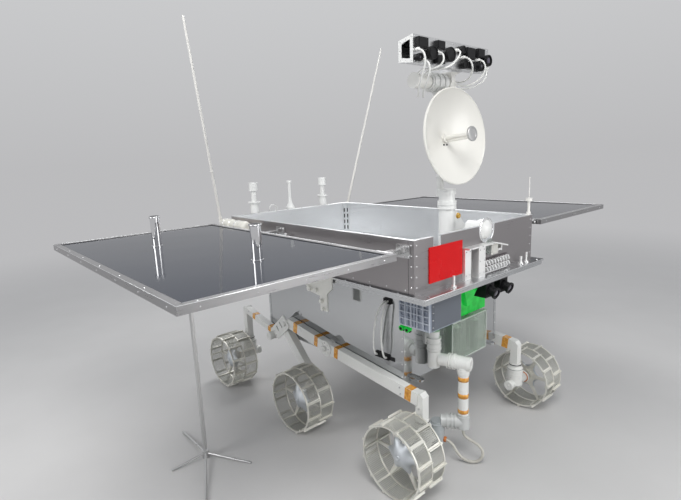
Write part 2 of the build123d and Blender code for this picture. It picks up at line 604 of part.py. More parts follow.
for name, side in SIDES.items():
    with BuildPart() as wing_frame:
        for level, border, depth in (
            (WING_TOP - WING_FRAME, FRAME_SHEET, WING_FRAME),
            (WING_TOP - FRAME_SHEET, WING_FRAME, FRAME_SHEET),
        ):
            with BuildSketch(Plane.XY.offset(level)):
                with Locations((WING_X, side * WING_Y)):
                    Rectangle(*WING_SIZE)
                    Rectangle(WING_SIZE[0] - 2 * border, WING_SIZE[1] - 2 * border, mode=Mode.SUBTRACT)
            extrude(amount=depth)
        for hinge_x in HINGE_X:
            for start in (KNUCKLE_GAP, -KNUCKLE_GAP - KNUCKLE_LENGTH):
                rod(
                    (hinge_x + start, side * HINGE_Y, HINGE_Z),
                    (hinge_x + start + KNUCKLE_LENGTH, side * HINGE_Y, HINGE_Z),
                    KNUCKLE_RADIUS,
                )
                low_y, high_y = sorted((side * HINGE_Y, side * WING_INNER))
                add_box(
                    (hinge_x + start, low_y, HINGE_Z - 8),
                    (hinge_x + start + KNUCKLE_LENGTH, high_y, HINGE_Z + 8),
                )
            rod(
                (hinge_x - 60, side * HINGE_Y, HINGE_Z),
                (hinge_x + 60, side * HINGE_Y, HINGE_Z),
                HINGE_PIN + RUNNING_GAP,
                Mode.SUBTRACT,
            )
    write(wing_frame, "wing_frame_" + name)

    with BuildPart() as wing_panel:
        with Locations((WING_X, side * WING_Y, PANEL_TOP - PANEL_THICK / 2)):
            Box(WING_SIZE[0] - 2 * FRAME_SHEET, WING_SIZE[1] - 2 * FRAME_SHEET, PANEL_THICK)
    write(wing_panel, "wing_panel_" + name)

# Hinge brackets on the tray's sides with the pins that the wings turn on, and a catch lever behind each
LEVER_ROOT, LEVER_TIP = (-150, 878), (-76, 932)
with BuildPart() as hinge_brackets:
    for side in (RIGHT, LEFT):
        wall_y = side * TRAY_HALF
        for hinge_x in HINGE_X:
            low_y, high_y = sorted((wall_y, side * HINGE_Y))
            add_box((hinge_x - 14, low_y, HINGE_Z - 9), (hinge_x + 14, high_y, HINGE_Z + 9))
            low_y, high_y = sorted((wall_y, wall_y + side * 6))
            add_box((hinge_x - 14, low_y, HINGE_Z - 22), (hinge_x + 50, high_y, HINGE_Z + 26))
            low_y, high_y = sorted((wall_y, wall_y + side * 30))
            add_box((hinge_x + 30, low_y, HINGE_Z + 4), (hinge_x + 40, high_y, HINGE_Z + 22))
            for reach, radius in ((14, KNUCKLE_RADIUS), (42, HINGE_PIN)):
                rod(
                    (hinge_x - reach, side * HINGE_Y, HINGE_Z),
                    (hinge_x + reach, side * HINGE_Y, HINGE_Z),
                    radius,
                )
        root_x, root_z = LEVER_ROOT
        tip_x, tip_z = LEVER_TIP
        rod((root_x, wall_y, root_z), (root_x, wall_y + side * 16, root_z), 12)
        rod((root_x, wall_y + side * 10, root_z), (tip_x, wall_y + side * 26, tip_z), 6)
write(hinge_brackets, "hinge_brackets")

# Wing drives: round-ended cylinders with a waist along the tray's rear corners, on saddles
DRIVE_Y, DRIVE_Z, DRIVE_RADIUS = 460, 936, 32
DRIVE_REAR, DRIVE_FRONT = -653, -405
WAIST_X = -560
with BuildPart() as wing_drives:
    for side in (RIGHT, LEFT):
        with BuildSketch(Plane.XZ.offset(-side * DRIVE_Y)):
            with BuildLine():
                Line((DRIVE_REAR, DRIVE_Z), (DRIVE_REAR, DRIVE_Z + 16))
                ThreePointArc(
                    (DRIVE_REAR, DRIVE_Z + 16),
                    (DRIVE_REAR + 5, DRIVE_Z + DRIVE_RADIUS - 5),
                    (DRIVE_REAR + 16, DRIVE_Z + DRIVE_RADIUS),
                )
                Polyline(
                    (DRIVE_REAR + 16, DRIVE_Z + DRIVE_RADIUS),
                    (WAIST_X, DRIVE_Z + DRIVE_RADIUS),
                    (WAIST_X + 4, DRIVE_Z + DRIVE_RADIUS - 6),
                    (WAIST_X + 14, DRIVE_Z + DRIVE_RADIUS - 6),
                    (WAIST_X + 18, DRIVE_Z + DRIVE_RADIUS - 2),
                    (DRIVE_FRONT - 20, DRIVE_Z + DRIVE_RADIUS - 2),
                )
                ThreePointArc(
                    (DRIVE_FRONT - 20, DRIVE_Z + DRIVE_RADIUS - 2),
                    (DRIVE_FRONT - 6, DRIVE_Z + DRIVE_RADIUS - 8),
                    (DRIVE_FRONT, DRIVE_Z + 12),
                )
                Polyline((DRIVE_FRONT, DRIVE_Z + 12), (DRIVE_FRONT, DRIVE_Z), (DRIVE_REAR, DRIVE_Z))
            make_face()
        revolve(axis=Axis((0, side * DRIVE_Y, DRIVE_Z), (1, 0, 0)))
        low_y, high_y = sorted((side * TRAY_HALF, side * (DRIVE_Y - 8)))
        add_box((-520, low_y, DRIVE_Z - 24), (-470, high_y, DRIVE_Z + 24))
write(wing_drives, "wing_drives")

# Polished tubes that stand on the right wing, rimmed at both ends
TUBES = ((-222, -996), (362, -876))
TUBE_STEPS = ((22, 5), (19, 116), (22, 6))
with BuildPart() as wing_tubes:
    for tube_x, tube_y in TUBES:
        steps((tube_x, tube_y, PANEL_TOP), (0, 0, 1), TUBE_STEPS)
write(wing_tubes, "wing_tubes")

# Rear antennas on the ledge behind the tray: two flanged posts, a bell shape and a small ring between them
ANTENNA_X = -655
POST_STEPS = ((27, 12), (24, 250), (36, 7), (15, 62), (26, 47))
POST_PLACES = (-259, 253)
BELL_Y = -6
BELL = (
    (0, DECK),
    (24, DECK),
    (28, 940),
    (28, 985),
    (15, 1008),
    (9, 1046),
    (9, 1128),
    (15, 1136),
    (15, 1146),
    (0, 1146),
)
RING_Y, RING_Z, RING_RADIUS, RING_WIRE = -132, 986, 28, 6
with BuildPart() as rear_antennas:
    for antenna_y in POST_PLACES:
        steps((ANTENNA_X, antenna_y, DECK), (0, 0, 1), POST_STEPS)
    with BuildSketch(Plane.YZ.offset(ANTENNA_X)):
        with BuildLine():
            Polyline(*[(BELL_Y + radius, z) for radius, z in BELL], close=True)
        make_face()
    revolve(axis=Axis((ANTENNA_X, BELL_Y, 0), (0, 0, 1)))
    with BuildSketch(Plane.YZ.offset(ANTENNA_X)):
        with Locations((RING_Y, RING_Z)):
            Circle(RING_RADIUS)
            Circle(RING_RADIUS - RING_WIRE, mode=Mode.SUBTRACT)
    extrude(amount=RING_WIRE / 2, both=True)
    rod((ANTENNA_X, RING_Y, DECK), (ANTENNA_X, RING_Y, RING_Z - RING_RADIUS + 1), 5)
write(rear_antennas, "rear_antennas")

# Long rods at the rear corners, leaning outwards and forwards, each in a socket on a post
ROD_BASE = (-668, 470, 930)
ROD_TIP = (-494, 662, 1945)
ROD_RADIUS = 5
ROD_POST_Y = 436
with BuildPart() as rod_antennas:
    for side in (RIGHT, LEFT):
        base = Vector(ROD_BASE[0], side * ROD_BASE[1], ROD_BASE[2])
        tip = Vector(ROD_TIP[0], side * ROD_TIP[1], ROD_TIP[2])
        rod(base, tip, ROD_RADIUS)
        rod(base, base + (tip - base).normalized() * 46, ROD_RADIUS + 4)
        rod((base.X, side * ROD_POST_Y, DECK), (base.X, side * ROD_POST_Y, base.Z - 20), 10)
        rod((base.X, side * ROD_POST_Y, base.Z - 26), (base.X, side * (ROD_POST_Y + 40), base.Z + 8), 8)
write(rod_antennas, "rod_antennas")

# Whip antenna at the front left corner of the tray
WHIP_STEPS = ((10, 14), (6, 51), (15, 14), (2, 96))
with BuildPart() as whip_antenna:
    steps((TRAY_FRONT - 12, TRAY_HALF - 12, TRAY_TOP), (0, 0, 1), WHIP_STEPS)
write(whip_antenna, "whip_antenna")

# Mast base in the tray: a column on a foot flange, with a gusset and its toe to the left
MAST_TURN_Z = 1052
MAST_RADIUS = 35
TOE_Z = 932
BASE_STEPS = ((66, 10), (MAST_RADIUS, 255), (MAST_RADIUS + 5, 16))
with BuildPart() as mast_base:
    steps((MAST_X, 0, DECK), (0, 0, 1), BASE_STEPS)
    with BuildSketch(Plane.YZ.offset(MAST_X)):
        with BuildLine():
            Polyline(
                (0, MAST_TURN_Z - 24),
                (MAST_RADIUS + 6, MAST_TURN_Z - 24),
                (108, TOE_Z + 22),
                (146, TOE_Z + 12),
                (146, TOE_Z),
                (0, TOE_Z),
                close=True,
            )
        make_face()
    extrude(amount=20, both=True)
    add_box((MAST_X - 20, 96, DECK), (MAST_X + 20, 108, TOE_Z + 4))
write(mast_base, "mast_base")

# Mast: it turns on the base, and carries the dish and, in a ribbed barrel, the head's pivot tube
HEAD_TUBE = 27
BARREL_LOW, BARREL_HIGH = -86, 20
BARREL_STEPS = ((34, 8), (39, 22), (34, 12), (39, 22), (34, 12), (39, 22), (34, 8))
COLUMN_STEPS = ((MAST_RADIUS + 5, 18), (MAST_RADIUS - 1, 28), (MAST_RADIUS + 3, 22))
with BuildPart() as mast_column:
    steps((MAST_X, 0, MAST_TURN_Z + 1), (0, 0, 1), COLUMN_STEPS)
    rod((POST_X, 0, 1090), (POST_X, 0, HEAD_PIVOT_Z - 60), 16)
    rod((POST_X, 0, HEAD_PIVOT_Z - 78), (POST_X, BARREL_HIGH - 53, HEAD_PIVOT_Z - 10), 22)
    steps((POST_X, BARREL_LOW, HEAD_PIVOT_Z), (0, 1, 0), BARREL_STEPS)
    rod(
        (POST_X, BARREL_LOW - 30, HEAD_PIVOT_Z),
        (POST_X, BARREL_HIGH + 30, HEAD_PIVOT_Z),
        HEAD_TUBE + RUNNING_GAP,
        Mode.SUBTRACT,
    )
write(mast_column, "mast_column")

# Dish: a spun shell with a square lip, its feed rods and sub-reflector, looking a little up and to the right
DISH_TURN, DISH_LIFT = -3, 5
DISH_VERTEX = 20
DISH_DEPTH = 62
DISH_SHELL = 4
LIP = 8
HALF_WAY = DISH_VERTEX + DISH_DEPTH * 0.24
FEED_STEPS = ((18, 12), (9, 127), (29, 7))
DISH_CENTRE = Vector(POST_X, 0, DISH_Z)
DISH_AXIS = Vector(
    cos(radians(DISH_TURN)) * cos(radians(DISH_LIFT)),
    sin(radians(DISH_TURN)) * cos(radians(DISH_LIFT)),
    sin(radians(DISH_LIFT)),
)
DISH_SIDE = Vector(sin(radians(DISH_TURN)), -cos(radians(DISH_TURN)), 0)
DISH_DOWN = DISH_AXIS.cross(DISH_SIDE)
with BuildPart() as dish:
    with BuildSketch(Plane(origin=DISH_CENTRE, x_dir=DISH_AXIS, z_dir=DISH_SIDE)):
        with BuildLine():
            outer_arc = ThreePointArc(
                (DISH_VERTEX, 0),
                (HALF_WAY, DISH_RADIUS / 2),
                (DISH_VERTEX + DISH_DEPTH, DISH_RADIUS - LIP),
            )
            Polyline(
                outer_arc @ 1,
                (DISH_VERTEX + DISH_DEPTH - 2, DISH_RADIUS - LIP / 2),
                (DISH_VERTEX + DISH_DEPTH, DISH_RADIUS),
                (DISH_VERTEX + DISH_DEPTH + LIP - 2, DISH_RADIUS),
                (DISH_VERTEX + DISH_DEPTH + LIP, DISH_RADIUS - LIP / 2),
                (DISH_VERTEX + DISH_DEPTH + DISH_SHELL, DISH_RADIUS - LIP),
            )
            inner_arc = ThreePointArc(
                (DISH_VERTEX + DISH_DEPTH + DISH_SHELL, DISH_RADIUS - LIP),
                (HALF_WAY + DISH_SHELL + 1, DISH_RADIUS / 2),
                (DISH_VERTEX + DISH_SHELL, 0),
            )
            Line(inner_arc @ 1, (DISH_VERTEX, 0))
        make_face()
    revolve(axis=Axis(DISH_CENTRE, DISH_AXIS))
    steps(DISH_CENTRE + DISH_AXIS * (DISH_VERTEX + 1), DISH_AXIS, FEED_STEPS)
    feed_root = DISH_CENTRE + DISH_AXIS * (DISH_VERTEX + 3) + DISH_DOWN * 14
    rod(feed_root, feed_root + DISH_AXIS * 134, 3)
    rod(DISH_CENTRE + DISH_AXIS * 12, DISH_CENTRE + DISH_AXIS * (DISH_VERTEX + 2), 24)
    rod((POST_X, 0, DISH_Z - 60), (POST_X, 0, DISH_Z + 60), 16 + RUNNING_GAP, Mode.SUBTRACT)
write(dish, "dish")

# Camera head: a sheet box, lower at the back, with bordered openings in its ends, hung on the pivot tube by a
# clamp and its web
HEAD_X = (477, 547)
HEAD_Y = (-272, 228)
HEAD_Z = (1604, 1704)
HEAD_TAPER = (10, 14)
HEAD_SHEET = 5
HEAD_BORDER = 15
CLAMP_LOW, CLAMP_HIGH = 24, 50
WEB_X = (447, 505)
WEB_HIGH, WEB_TOE = HEAD_Z[0] + 11, 112
TUBE_STEPS = ((30, 20), (HEAD_TUBE, 222), (28, 8))
with BuildPart() as camera_head:
    for inset, end_inset, mode in (
        (0, 0, Mode.ADD),
        (HEAD_SHEET, HEAD_SHEET, Mode.SUBTRACT),
        (HEAD_BORDER, -1, Mode.SUBTRACT),
    ):
        with BuildSketch(Plane.XZ.offset(-HEAD_Y[0] - end_inset)):
            with BuildLine():
                Polyline(
                    (HEAD_X[0] + inset, HEAD_Z[0] + HEAD_TAPER[0] + inset),
                    (HEAD_X[1] - inset, HEAD_Z[0] + inset),
                    (HEAD_X[1] - inset, HEAD_Z[1] - inset),
                    (HEAD_X[0] + inset, HEAD_Z[1] - HEAD_TAPER[1] - inset),
                    close=True,
                )
            make_face()
        extrude(amount=-(HEAD_Y[1] - HEAD_Y[0] - 2 * end_inset), mode=mode)
    with BuildSketch(Plane.YZ.offset(WEB_X[0])):
        with BuildLine():
            Polyline(
                (CLAMP_LOW, HEAD_PIVOT_Z),
                (CLAMP_HIGH, HEAD_PIVOT_Z),
                (CLAMP_HIGH, HEAD_PIVOT_Z + 30),
                (WEB_TOE, WEB_HIGH),
                (CLAMP_LOW, WEB_HIGH),
                close=True,
            )
        make_face()
    extrude(amount=WEB_X[1] - WEB_X[0])
    rod((POST_X, CLAMP_LOW, HEAD_PIVOT_Z), (POST_X, CLAMP_HIGH, HEAD_PIVOT_Z), 36)
    steps((POST_X, -175, HEAD_PIVOT_Z), (0, 1, 0), TUBE_STEPS)
write(camera_head, "camera_head")

# Cameras on the head's front, as barrels: y, z, radius, length, and as housings: y, z, width, height, depth
BARRELS = (
    (-172, 1646, 24, 20),
    (-56, 1652, 27, 16),
    (-252, 1622, 13, 22),
    (36, 1624, 17, 20),
    (24, 1678, 15, 18),
    (150, 1626, 20, 22),
    (200, 1652, 23, 24),
)
HOUSINGS = (
    (-230, 1676, 56, 36, 16),
    (-124, 1678, 46, 30, 18),
    (-126, 1626, 50, 30, 18),
    (74, 1668, 56, 44, 18),
    (150, 1677, 50, 34, 18),
    (98, 1626, 40, 26, 14),
)
LENS_HOOD, HOOD_SHEET = 6, 4
with BuildPart() as camera_lenses:
    for lens_y, lens_z, lens_radius, lens_length in BARRELS:
        front_x = HEAD_X[1] + lens_length
        rod((HEAD_X[1], lens_y, lens_z), (front_x, lens_y, lens_z), lens_radius)
        rod(
            (front_x - LENS_HOOD, lens_y, lens_z),
            (front_x + 1, lens_y, lens_z),
            lens_radius - HOOD_SHEET,
            Mode.SUBTRACT,
        )
    for body_y, body_z, width, height, depth in HOUSINGS:
        add_box(
            (HEAD_X[1], body_y - width / 2, body_z - height / 2),
            (HEAD_X[1] + depth, body_y + width / 2, body_z + height / 2),
        )
write(camera_lenses, "camera_lenses")

# Arm: socket on the lower box, link, forearm with wrist, and instrument head
LINK_DIR = Vector(cos(radians(LINK_TURN)), sin(radians(LINK_TURN)), 0)
SHOULDER = Vector(SHOULDER_X, SHOULDER_Y, LINK_Z)
ELBOW = SHOULDER + LINK_DIR * LINK_LENGTH
WRIST_TURN = -139
WRIST_DIR = Vector(cos(radians(WRIST_TURN)), sin(radians(WRIST_TURN)), 0)
WRIST_REACH = 106
WRIST = Vector(ELBOW.X, ELBOW.Y, ELBOW_Z) + WRIST_DIR * WRIST_REACH

TUBE_RADIUS = 21.5
FITTING = 27
RING = 33
with BuildPart() as arm_shoulder:
    steps(
        (SHOULDER_X, SHOULDER_Y, 466),
        (0, 0, 1),
        ((FITTING, 6), (31, 8), (29, 10), (31, 10), (28, 18), (31, 6), (24, 28)),
    )
    add_box((BOX_FRONT, SHOULDER_Y - 20, 490), (SHOULDER_X, SHOULDER_Y + 20, 540))
    rod((SHOULDER_X, SHOULDER_Y, 440), (SHOULDER_X, SHOULDER_Y, 470), 10)
write(arm_shoulder, "arm_shoulder")

LINK_START = 24
LINK_STEPS = ((FITTING - 1, 38), (RING, 5), (FITTING, 5), (RING, 5), (FITTING, 7), (10, 14))
with BuildPart() as arm_link:
    steps((SHOULDER_X, SHOULDER_Y, 394), (0, 0, 1), ((FITTING, 62), (FITTING + 1, 9)))
    rod((SHOULDER_X, SHOULDER_Y, 436), (SHOULDER_X, SHOULDER_Y, 470), 10 + RUNNING_GAP, Mode.SUBTRACT)
    steps(SHOULDER + LINK_DIR * LINK_START, LINK_DIR, LINK_STEPS)
write(arm_link, "arm_link")

INSTRUMENT_RADIUS = 30
INSTRUMENT_STEPS = ((24, 10), (INSTRUMENT_RADIUS, 76), (26, 10))
INSTRUMENT_LOW = 78
INSTRUMENT_HIGH = INSTRUMENT_LOW + sum(length for radius, length in INSTRUMENT_STEPS)
CONNECTOR_Z = 96
WRIST_STEPS = ((FITTING, 30), (RING, 6), (FITTING, 8), (RING, 6), (FITTING, 12), (RING, 6), (FITTING, 24))
with BuildPart() as arm_forearm:
    steps(SHOULDER + LINK_DIR * 85, LINK_DIR, ((RING, 6), (29, 64), (26, 3)))
    rod(SHOULDER + LINK_DIR * 84, SHOULDER + LINK_DIR * 100, 10 + RUNNING_GAP, Mode.SUBTRACT)
    steps((ELBOW.X, ELBOW.Y, ELBOW_Z + 28), (0, 0, 1), ((24, 8), (TUBE_RADIUS, 176), (25, 14), (27, 20)))
    rod((ELBOW.X, ELBOW.Y, ELBOW_Z - 28), (ELBOW.X, ELBOW.Y, ELBOW_Z + 28), FITTING)
    steps((ELBOW.X, ELBOW.Y, ELBOW_Z), WRIST_DIR, WRIST_STEPS)
    rod(
        (WRIST.X, WRIST.Y, INSTRUMENT_LOW),
        (WRIST.X, WRIST.Y, INSTRUMENT_HIGH),
        INSTRUMENT_RADIUS,
        Mode.SUBTRACT,
    )
    rod((ELBOW.X, ELBOW.Y, ELBOW_Z - 38), (ELBOW.X, ELBOW.Y, ELBOW_Z - 28), 11)
write(arm_forearm, "arm_forearm")

with BuildPart() as instrument_head:
    steps((WRIST.X, WRIST.Y, INSTRUMENT_LOW), (0, 0, 1), INSTRUMENT_STEPS)
    rod((WRIST.X, WRIST.Y, CONNECTOR_Z), (WRIST.X + 36, WRIST.Y + 14, CONNECTOR_Z - 4), 10)
write(instrument_head, "instrument_head")

# Grommets in the box's side, where the two side leads leave and enter
with BuildPart() as side_grommets:
    add_box((446, -BOX_HALF - 8, 682), (484, -BOX_HALF, 704))
    add_box((390, -BOX_HALF - 8, 436), (469, -BOX_HALF, 458))
write(side_grommets, "side_grommets")

# Free cords: points of each route, and the tube's radius
CORDS = {
    "arm_cable": (
        6,
        [
            (697, -150, 134),
            (697, -150, 119),
            (708, -147, 103),
            (733, -141, 93),
            (762, -133, 84),
            (781, -128, 60),
            (779, -131, 30),
            (759, -146, 9.5),
            (733, -165, 10),
            (710, -181, 26),
            (696, -192, 49),
            (684, -196, 72),
            (669, -200, 86),
            (653, -205, 92),
        ],
    ),
    "side_lead_front": (
        4,
        [
            (472, -352, 694),
            (472, -362, 694),
            (471, -373, 676),
            (464, -377, 636),
            (457, -378, 595),
            (454, -377, 550),
            (454, -376, 508),
            (455, -372, 474),
            (456, -362, 446),
            (456, -352, 446),
        ],
    ),
    "side_lead_rear": (
        4,
        [
            (458, -352, 692),
            (458, -362, 692),
            (450, -373, 674),
            (430, -376, 636),
            (419, -376, 596),
            (411, -376, 552),
            (406, -375, 510),
            (404, -371, 476),
            (403, -362, 448),
            (403, -352, 448),
        ],
    ),
    "head_lead_left_outer": (
        3.5,
        [
            (547, -256, 1650),
            (578, -256, 1650),
            (589, -248, 1606),
            (556, -236, 1552),
            (516, -206, 1508),
            (478, -164, 1492),
            (465, -143, 1506),
            (465, -143, 1533),
        ],
    ),
    "head_lead_left_inner": (
        3.5,
        [
            (547, -226, 1615),
            (578, -226, 1615),
            (586, -219, 1574),
            (552, -204, 1530),
            (514, -174, 1502),
            (480, -132, 1494),
            (465, -113, 1507),
            (465, -113, 1533),
        ],
    ),
    "head_lead_top_outer": (
        3.5,
        [
            (547, -141, 1651.5),
            (579, -141, 1651.5),
            (590, -140, 1618),
            (572, -148, 1596),
            (534, -156, 1592),
            (497.1, -167, 1598.3),
            (484.3, -167, 1583),
        ],
    ),
    "head_lead_top_inner": (
        3.5,
        [
            (547, -14, 1672),
            (578, -14, 1672),
            (584, -42, 1634),
            (566, -76, 1602),
            (530, -112, 1594),
            (495.2, -128, 1596),
            (482.4, -128, 1580.7),
        ],
    ),
    "head_lead_right_inner": (
        3.5,
        [
            (547, 30, 1650),
            (579, 30, 1650),
            (592, 48, 1614),
            (572, 68, 1584),
            (536, 90, 1569),
            (498, 103, 1566),
            (478, 100, 1569),
            (478, 75, 1569),
        ],
    ),
    "head_lead_right_middle": (
        3.5,
        [
            (547, 136, 1650),
            (579, 136, 1650),
            (590, 146, 1614),
            (570, 150, 1582),
            (536, 136, 1557),
            (504, 116, 1551),
            (483, 103, 1556),
            (483, 75, 1556),
        ],
    ),
    "head_lead_right_outer": (
        3.5,
        [
            (560, 200, 1628.9),
            (560, 200, 1602),
            (560, 180, 1568),
            (530, 146, 1545),
            (496, 120, 1540),
            (472, 104, 1545),
            (472, 75, 1545),
        ],
    ),
}
for name, (radius, points) in CORDS.items():
    vectors = [Vector(*point) for point in points]
    runs = [b - a for a, b in zip(vectors, vectors[1:])]
    bends = []
    for before, after in zip(runs, runs[1:]):
        half_turn = radians(before.get_angle(after)) / 2
        bends.append(0.45 * min(before.length, after.length) / tan(half_turn))
    print(name, "bend radii", [round(bend, 1) for bend in bends])
    with BuildPart() as cord:
        with BuildLine():
            FilletPolyline(*points, radius=bends)
        with BuildSketch(Plane(origin=points[0], z_dir=runs[0])):
            Circle(radius)
        sweep()
    write(cord, name)

# Display stand: a strip pole on a hub with four rods for feet, below the right wing
STAND_LEGS = ((178, 260), (-94, 150), (-26, 290), (33, 217))
POLE_WIDTH, POLE_SHEET = 20, 6
STAND_TOP = PANEL_TOP - PANEL_THICK - 1
with BuildPart() as display_stand:
    with BuildSketch(Plane.XY.offset(20)):
        with Locations((STAND_X, STAND_Y)):
            Rectangle(POLE_WIDTH, 12)
            with Locations((0, 4)):
                Rectangle(POLE_WIDTH - 2 * POLE_SHEET, 12, mode=Mode.SUBTRACT)
    extrude(amount=STAND_TOP - 40)
    steps((STAND_X, STAND_Y, STAND_TOP - 22), (0, 0, 1), ((9, 16), (24, 6)))
    rod((STAND_X, STAND_Y, 0), (STAND_X, STAND_Y, 36), 14)
    for turn, length in STAND_LEGS:
        foot = (STAND_X + length * cos(radians(turn)), STAND_Y + length * sin(radians(turn)), 5)
        rod((STAND_X, STAND_Y, 22), foot, 5)
write(display_stand, "display_stand")
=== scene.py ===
import math

import bmesh
import bpy
from mathutils import Matrix, Vector


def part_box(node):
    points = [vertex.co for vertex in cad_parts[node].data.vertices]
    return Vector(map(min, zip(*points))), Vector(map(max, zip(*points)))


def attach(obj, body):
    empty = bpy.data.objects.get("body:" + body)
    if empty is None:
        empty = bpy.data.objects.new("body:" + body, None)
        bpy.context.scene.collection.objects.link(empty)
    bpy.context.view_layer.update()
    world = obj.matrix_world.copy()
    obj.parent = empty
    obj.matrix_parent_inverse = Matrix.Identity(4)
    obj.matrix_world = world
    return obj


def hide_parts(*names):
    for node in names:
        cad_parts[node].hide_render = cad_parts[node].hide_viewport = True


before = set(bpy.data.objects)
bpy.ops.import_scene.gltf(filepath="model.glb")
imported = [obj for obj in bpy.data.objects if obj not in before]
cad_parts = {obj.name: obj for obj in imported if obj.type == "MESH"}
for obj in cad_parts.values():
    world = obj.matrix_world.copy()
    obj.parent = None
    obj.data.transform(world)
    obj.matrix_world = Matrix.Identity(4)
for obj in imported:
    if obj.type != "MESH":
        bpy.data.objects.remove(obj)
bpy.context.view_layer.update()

# Camera: at the photograph's place, found from the wheels, the box, the tray and the wings in it. Its focal length
# was solved in photo pixels, and is brought to the sensor's width here.
EYE = Vector((1.739309, -1.704190, 1.273344))
AHEAD = Vector((-0.738782, 0.646101, -0.191714))
ACROSS = Vector((0.663470, 0.747210, -0.038527))
FOCAL_PIXELS, PHOTO_WIDTH, SENSOR = 475.11, 681, 36.0


def add_object(name, data):
    """A new object of the scene with this data, at the origin."""
    made = bpy.data.objects.new(name, data)
    bpy.context.scene.collection.objects.link(made)
    return made


camera = add_object("view_camera", bpy.data.cameras.new("view_camera"))
camera.matrix_world = Matrix.Translation(EYE) @ Matrix((ACROSS, ACROSS.cross(AHEAD), -AHEAD)).transposed().to_4x4()
camera.data.sensor_width = SENSOR
camera.data.lens = FOCAL_PIXELS / PHOTO_WIDTH * SENSOR
camera.data.clip_start, camera.data.clip_end = 0.05, 60
bpy.context.scene.camera = camera

# Studio: a plain pale floor that meets a pale surround, two soft overhead lamps, a side lamp and a low fill.
# Mirrors and clear plastic see the same surround as the camera.
bpy.context.scene.view_settings.view_transform = "Standard"
HORIZON = (0.50, 0.50, 0.51)


def new_material(name, colour, roughness=0.5, metallic=0.0, **inputs):
    """A material whose shader has these plain values, its node tree and its shader."""
    material = bpy.data.materials.new(name)
    material.use_nodes = True
    shader = material.node_tree.nodes["Principled BSDF"]
    inputs.update(Base_Color=(*colour, 1), Roughness=roughness, Metallic=metallic)
    for key, value in inputs.items():
        shader.inputs[key.replace("_", " ")].default_value = value
    return material, material.node_tree, shader


def feed(tree, socket, value):
    """Links another socket to this one, or gives it a plain value."""
    if isinstance(value, bpy.types.NodeSocket):
        tree.links.new(value, socket)
    else:
        socket.default_value = value


def node(tree, kind, *in_order, **by_name):
    """A node whose sockets are fed in order or by name; the other names are its settings."""
    made = tree.nodes.new(kind)
    for key, value in by_name.items():
        label = key.replace("_", " ")
        if label in made.inputs:
            feed(tree, made.inputs[label], value)
        else:
            setattr(made, key, value)
    for socket, value in zip(made.inputs, in_order):
        feed(tree, socket, value)
    return made


def maths(tree, operation, *values):
    return node(tree, "ShaderNodeMath", *values, operation=operation).outputs[0]


def noise(tree, scale, detail, place=None):
    """Cloudy noise over the Object coordinates, or over the given ones."""
    if place is None:
        place = node(tree, "ShaderNodeTexCoord").outputs["Object"]
    return node(tree, "ShaderNodeTexNoise", Vector=place, Scale=scale, Detail=detail).outputs["Fac"]


def ramp(tree, share, low, high, low_at=0.0, high_at=1.0):
    """A run between two colours."""
    made = node(tree, "ShaderNodeValToRGB", share)
    for stop, colour, at in zip(made.color_ramp.elements, (low, high), (low_at, high_at)):
        stop.position, stop.color = at, (*colour, 1)
    return made.outputs["Color"]


def seen_rays(tree):
    """1 for the rays that show the surround: from the camera, off gloss and through clear plastic."""
    rays = node(tree, "ShaderNodeLightPath").outputs
    either = maths(tree, "MAXIMUM", rays["Is Camera Ray"], rays["Is Glossy Ray"])
    return maths(tree, "MAXIMUM", either, rays["Is Transmission Ray"])


def add_mesh(name, build):
    """An object whose mesh is filled in by build(bmesh)."""
    mesh = bpy.data.meshes.new(name)
    shape = bmesh.new()
    build(shape)
    shape.to_mesh(mesh)
    shape.free()
    return add_object(name, mesh)


floor = add_mesh("studio_floor", lambda shape: bmesh.ops.create_grid(shape, x_segments=8, y_segments=8, size=14))
floor_paint, tree, shader = new_material("floor_pale", (0.62, 0.61, 0.60), 0.55)
feed(tree, shader.inputs["Base Color"], ramp(tree, noise(tree, 3.0, 6.0), (0.58, 0.57, 0.56), (0.64, 0.63, 0.62)))
spot = node(tree, "ShaderNodeTexCoord").outputs["Object"]
reach = node(tree, "ShaderNodeVectorMath", spot, operation="LENGTH").outputs["Value"]
fade = node(tree, "ShaderNodeMapRange", interpolation_type="SMOOTHSTEP", Value=reach, From_Min=1.6, From_Max=7.0)
shown = maths(tree, "MULTIPLY", fade.outputs["Result"], seen_rays(tree))
far_floor = node(tree, "ShaderNodeEmission", Color=(*HORIZON, 1))
blend = node(tree, "ShaderNodeMixShader", shown, shader.outputs["BSDF"], far_floor.outputs[0])
tree.links.new(blend.outputs[0], tree.nodes["Material Output"].inputs["Surface"])
floor.data.materials.append(floor_paint)

world = bpy.data.worlds.new("studio")
bpy.context.scene.world = world
world.use_nodes = True
tree = world.node_tree
tree.nodes.clear()
height = node(tree, "ShaderNodeSeparateXYZ", node(tree, "ShaderNodeTexCoord").outputs["Generated"]).outputs["Z"]
surround = node(tree, "ShaderNodeBackground", ramp(tree, height, HORIZON, (0.68, 0.69, 0.70), 0.0, 0.60), 1.0)
glow = node(tree, "ShaderNodeBackground", (0.80, 0.84, 0.90, 1), 0.42)
mixed = node(tree, "ShaderNodeMixShader", seen_rays(tree), glow.outputs[0], surround.outputs[0])
node(tree, "ShaderNodeOutputWorld", mixed.outputs[0])

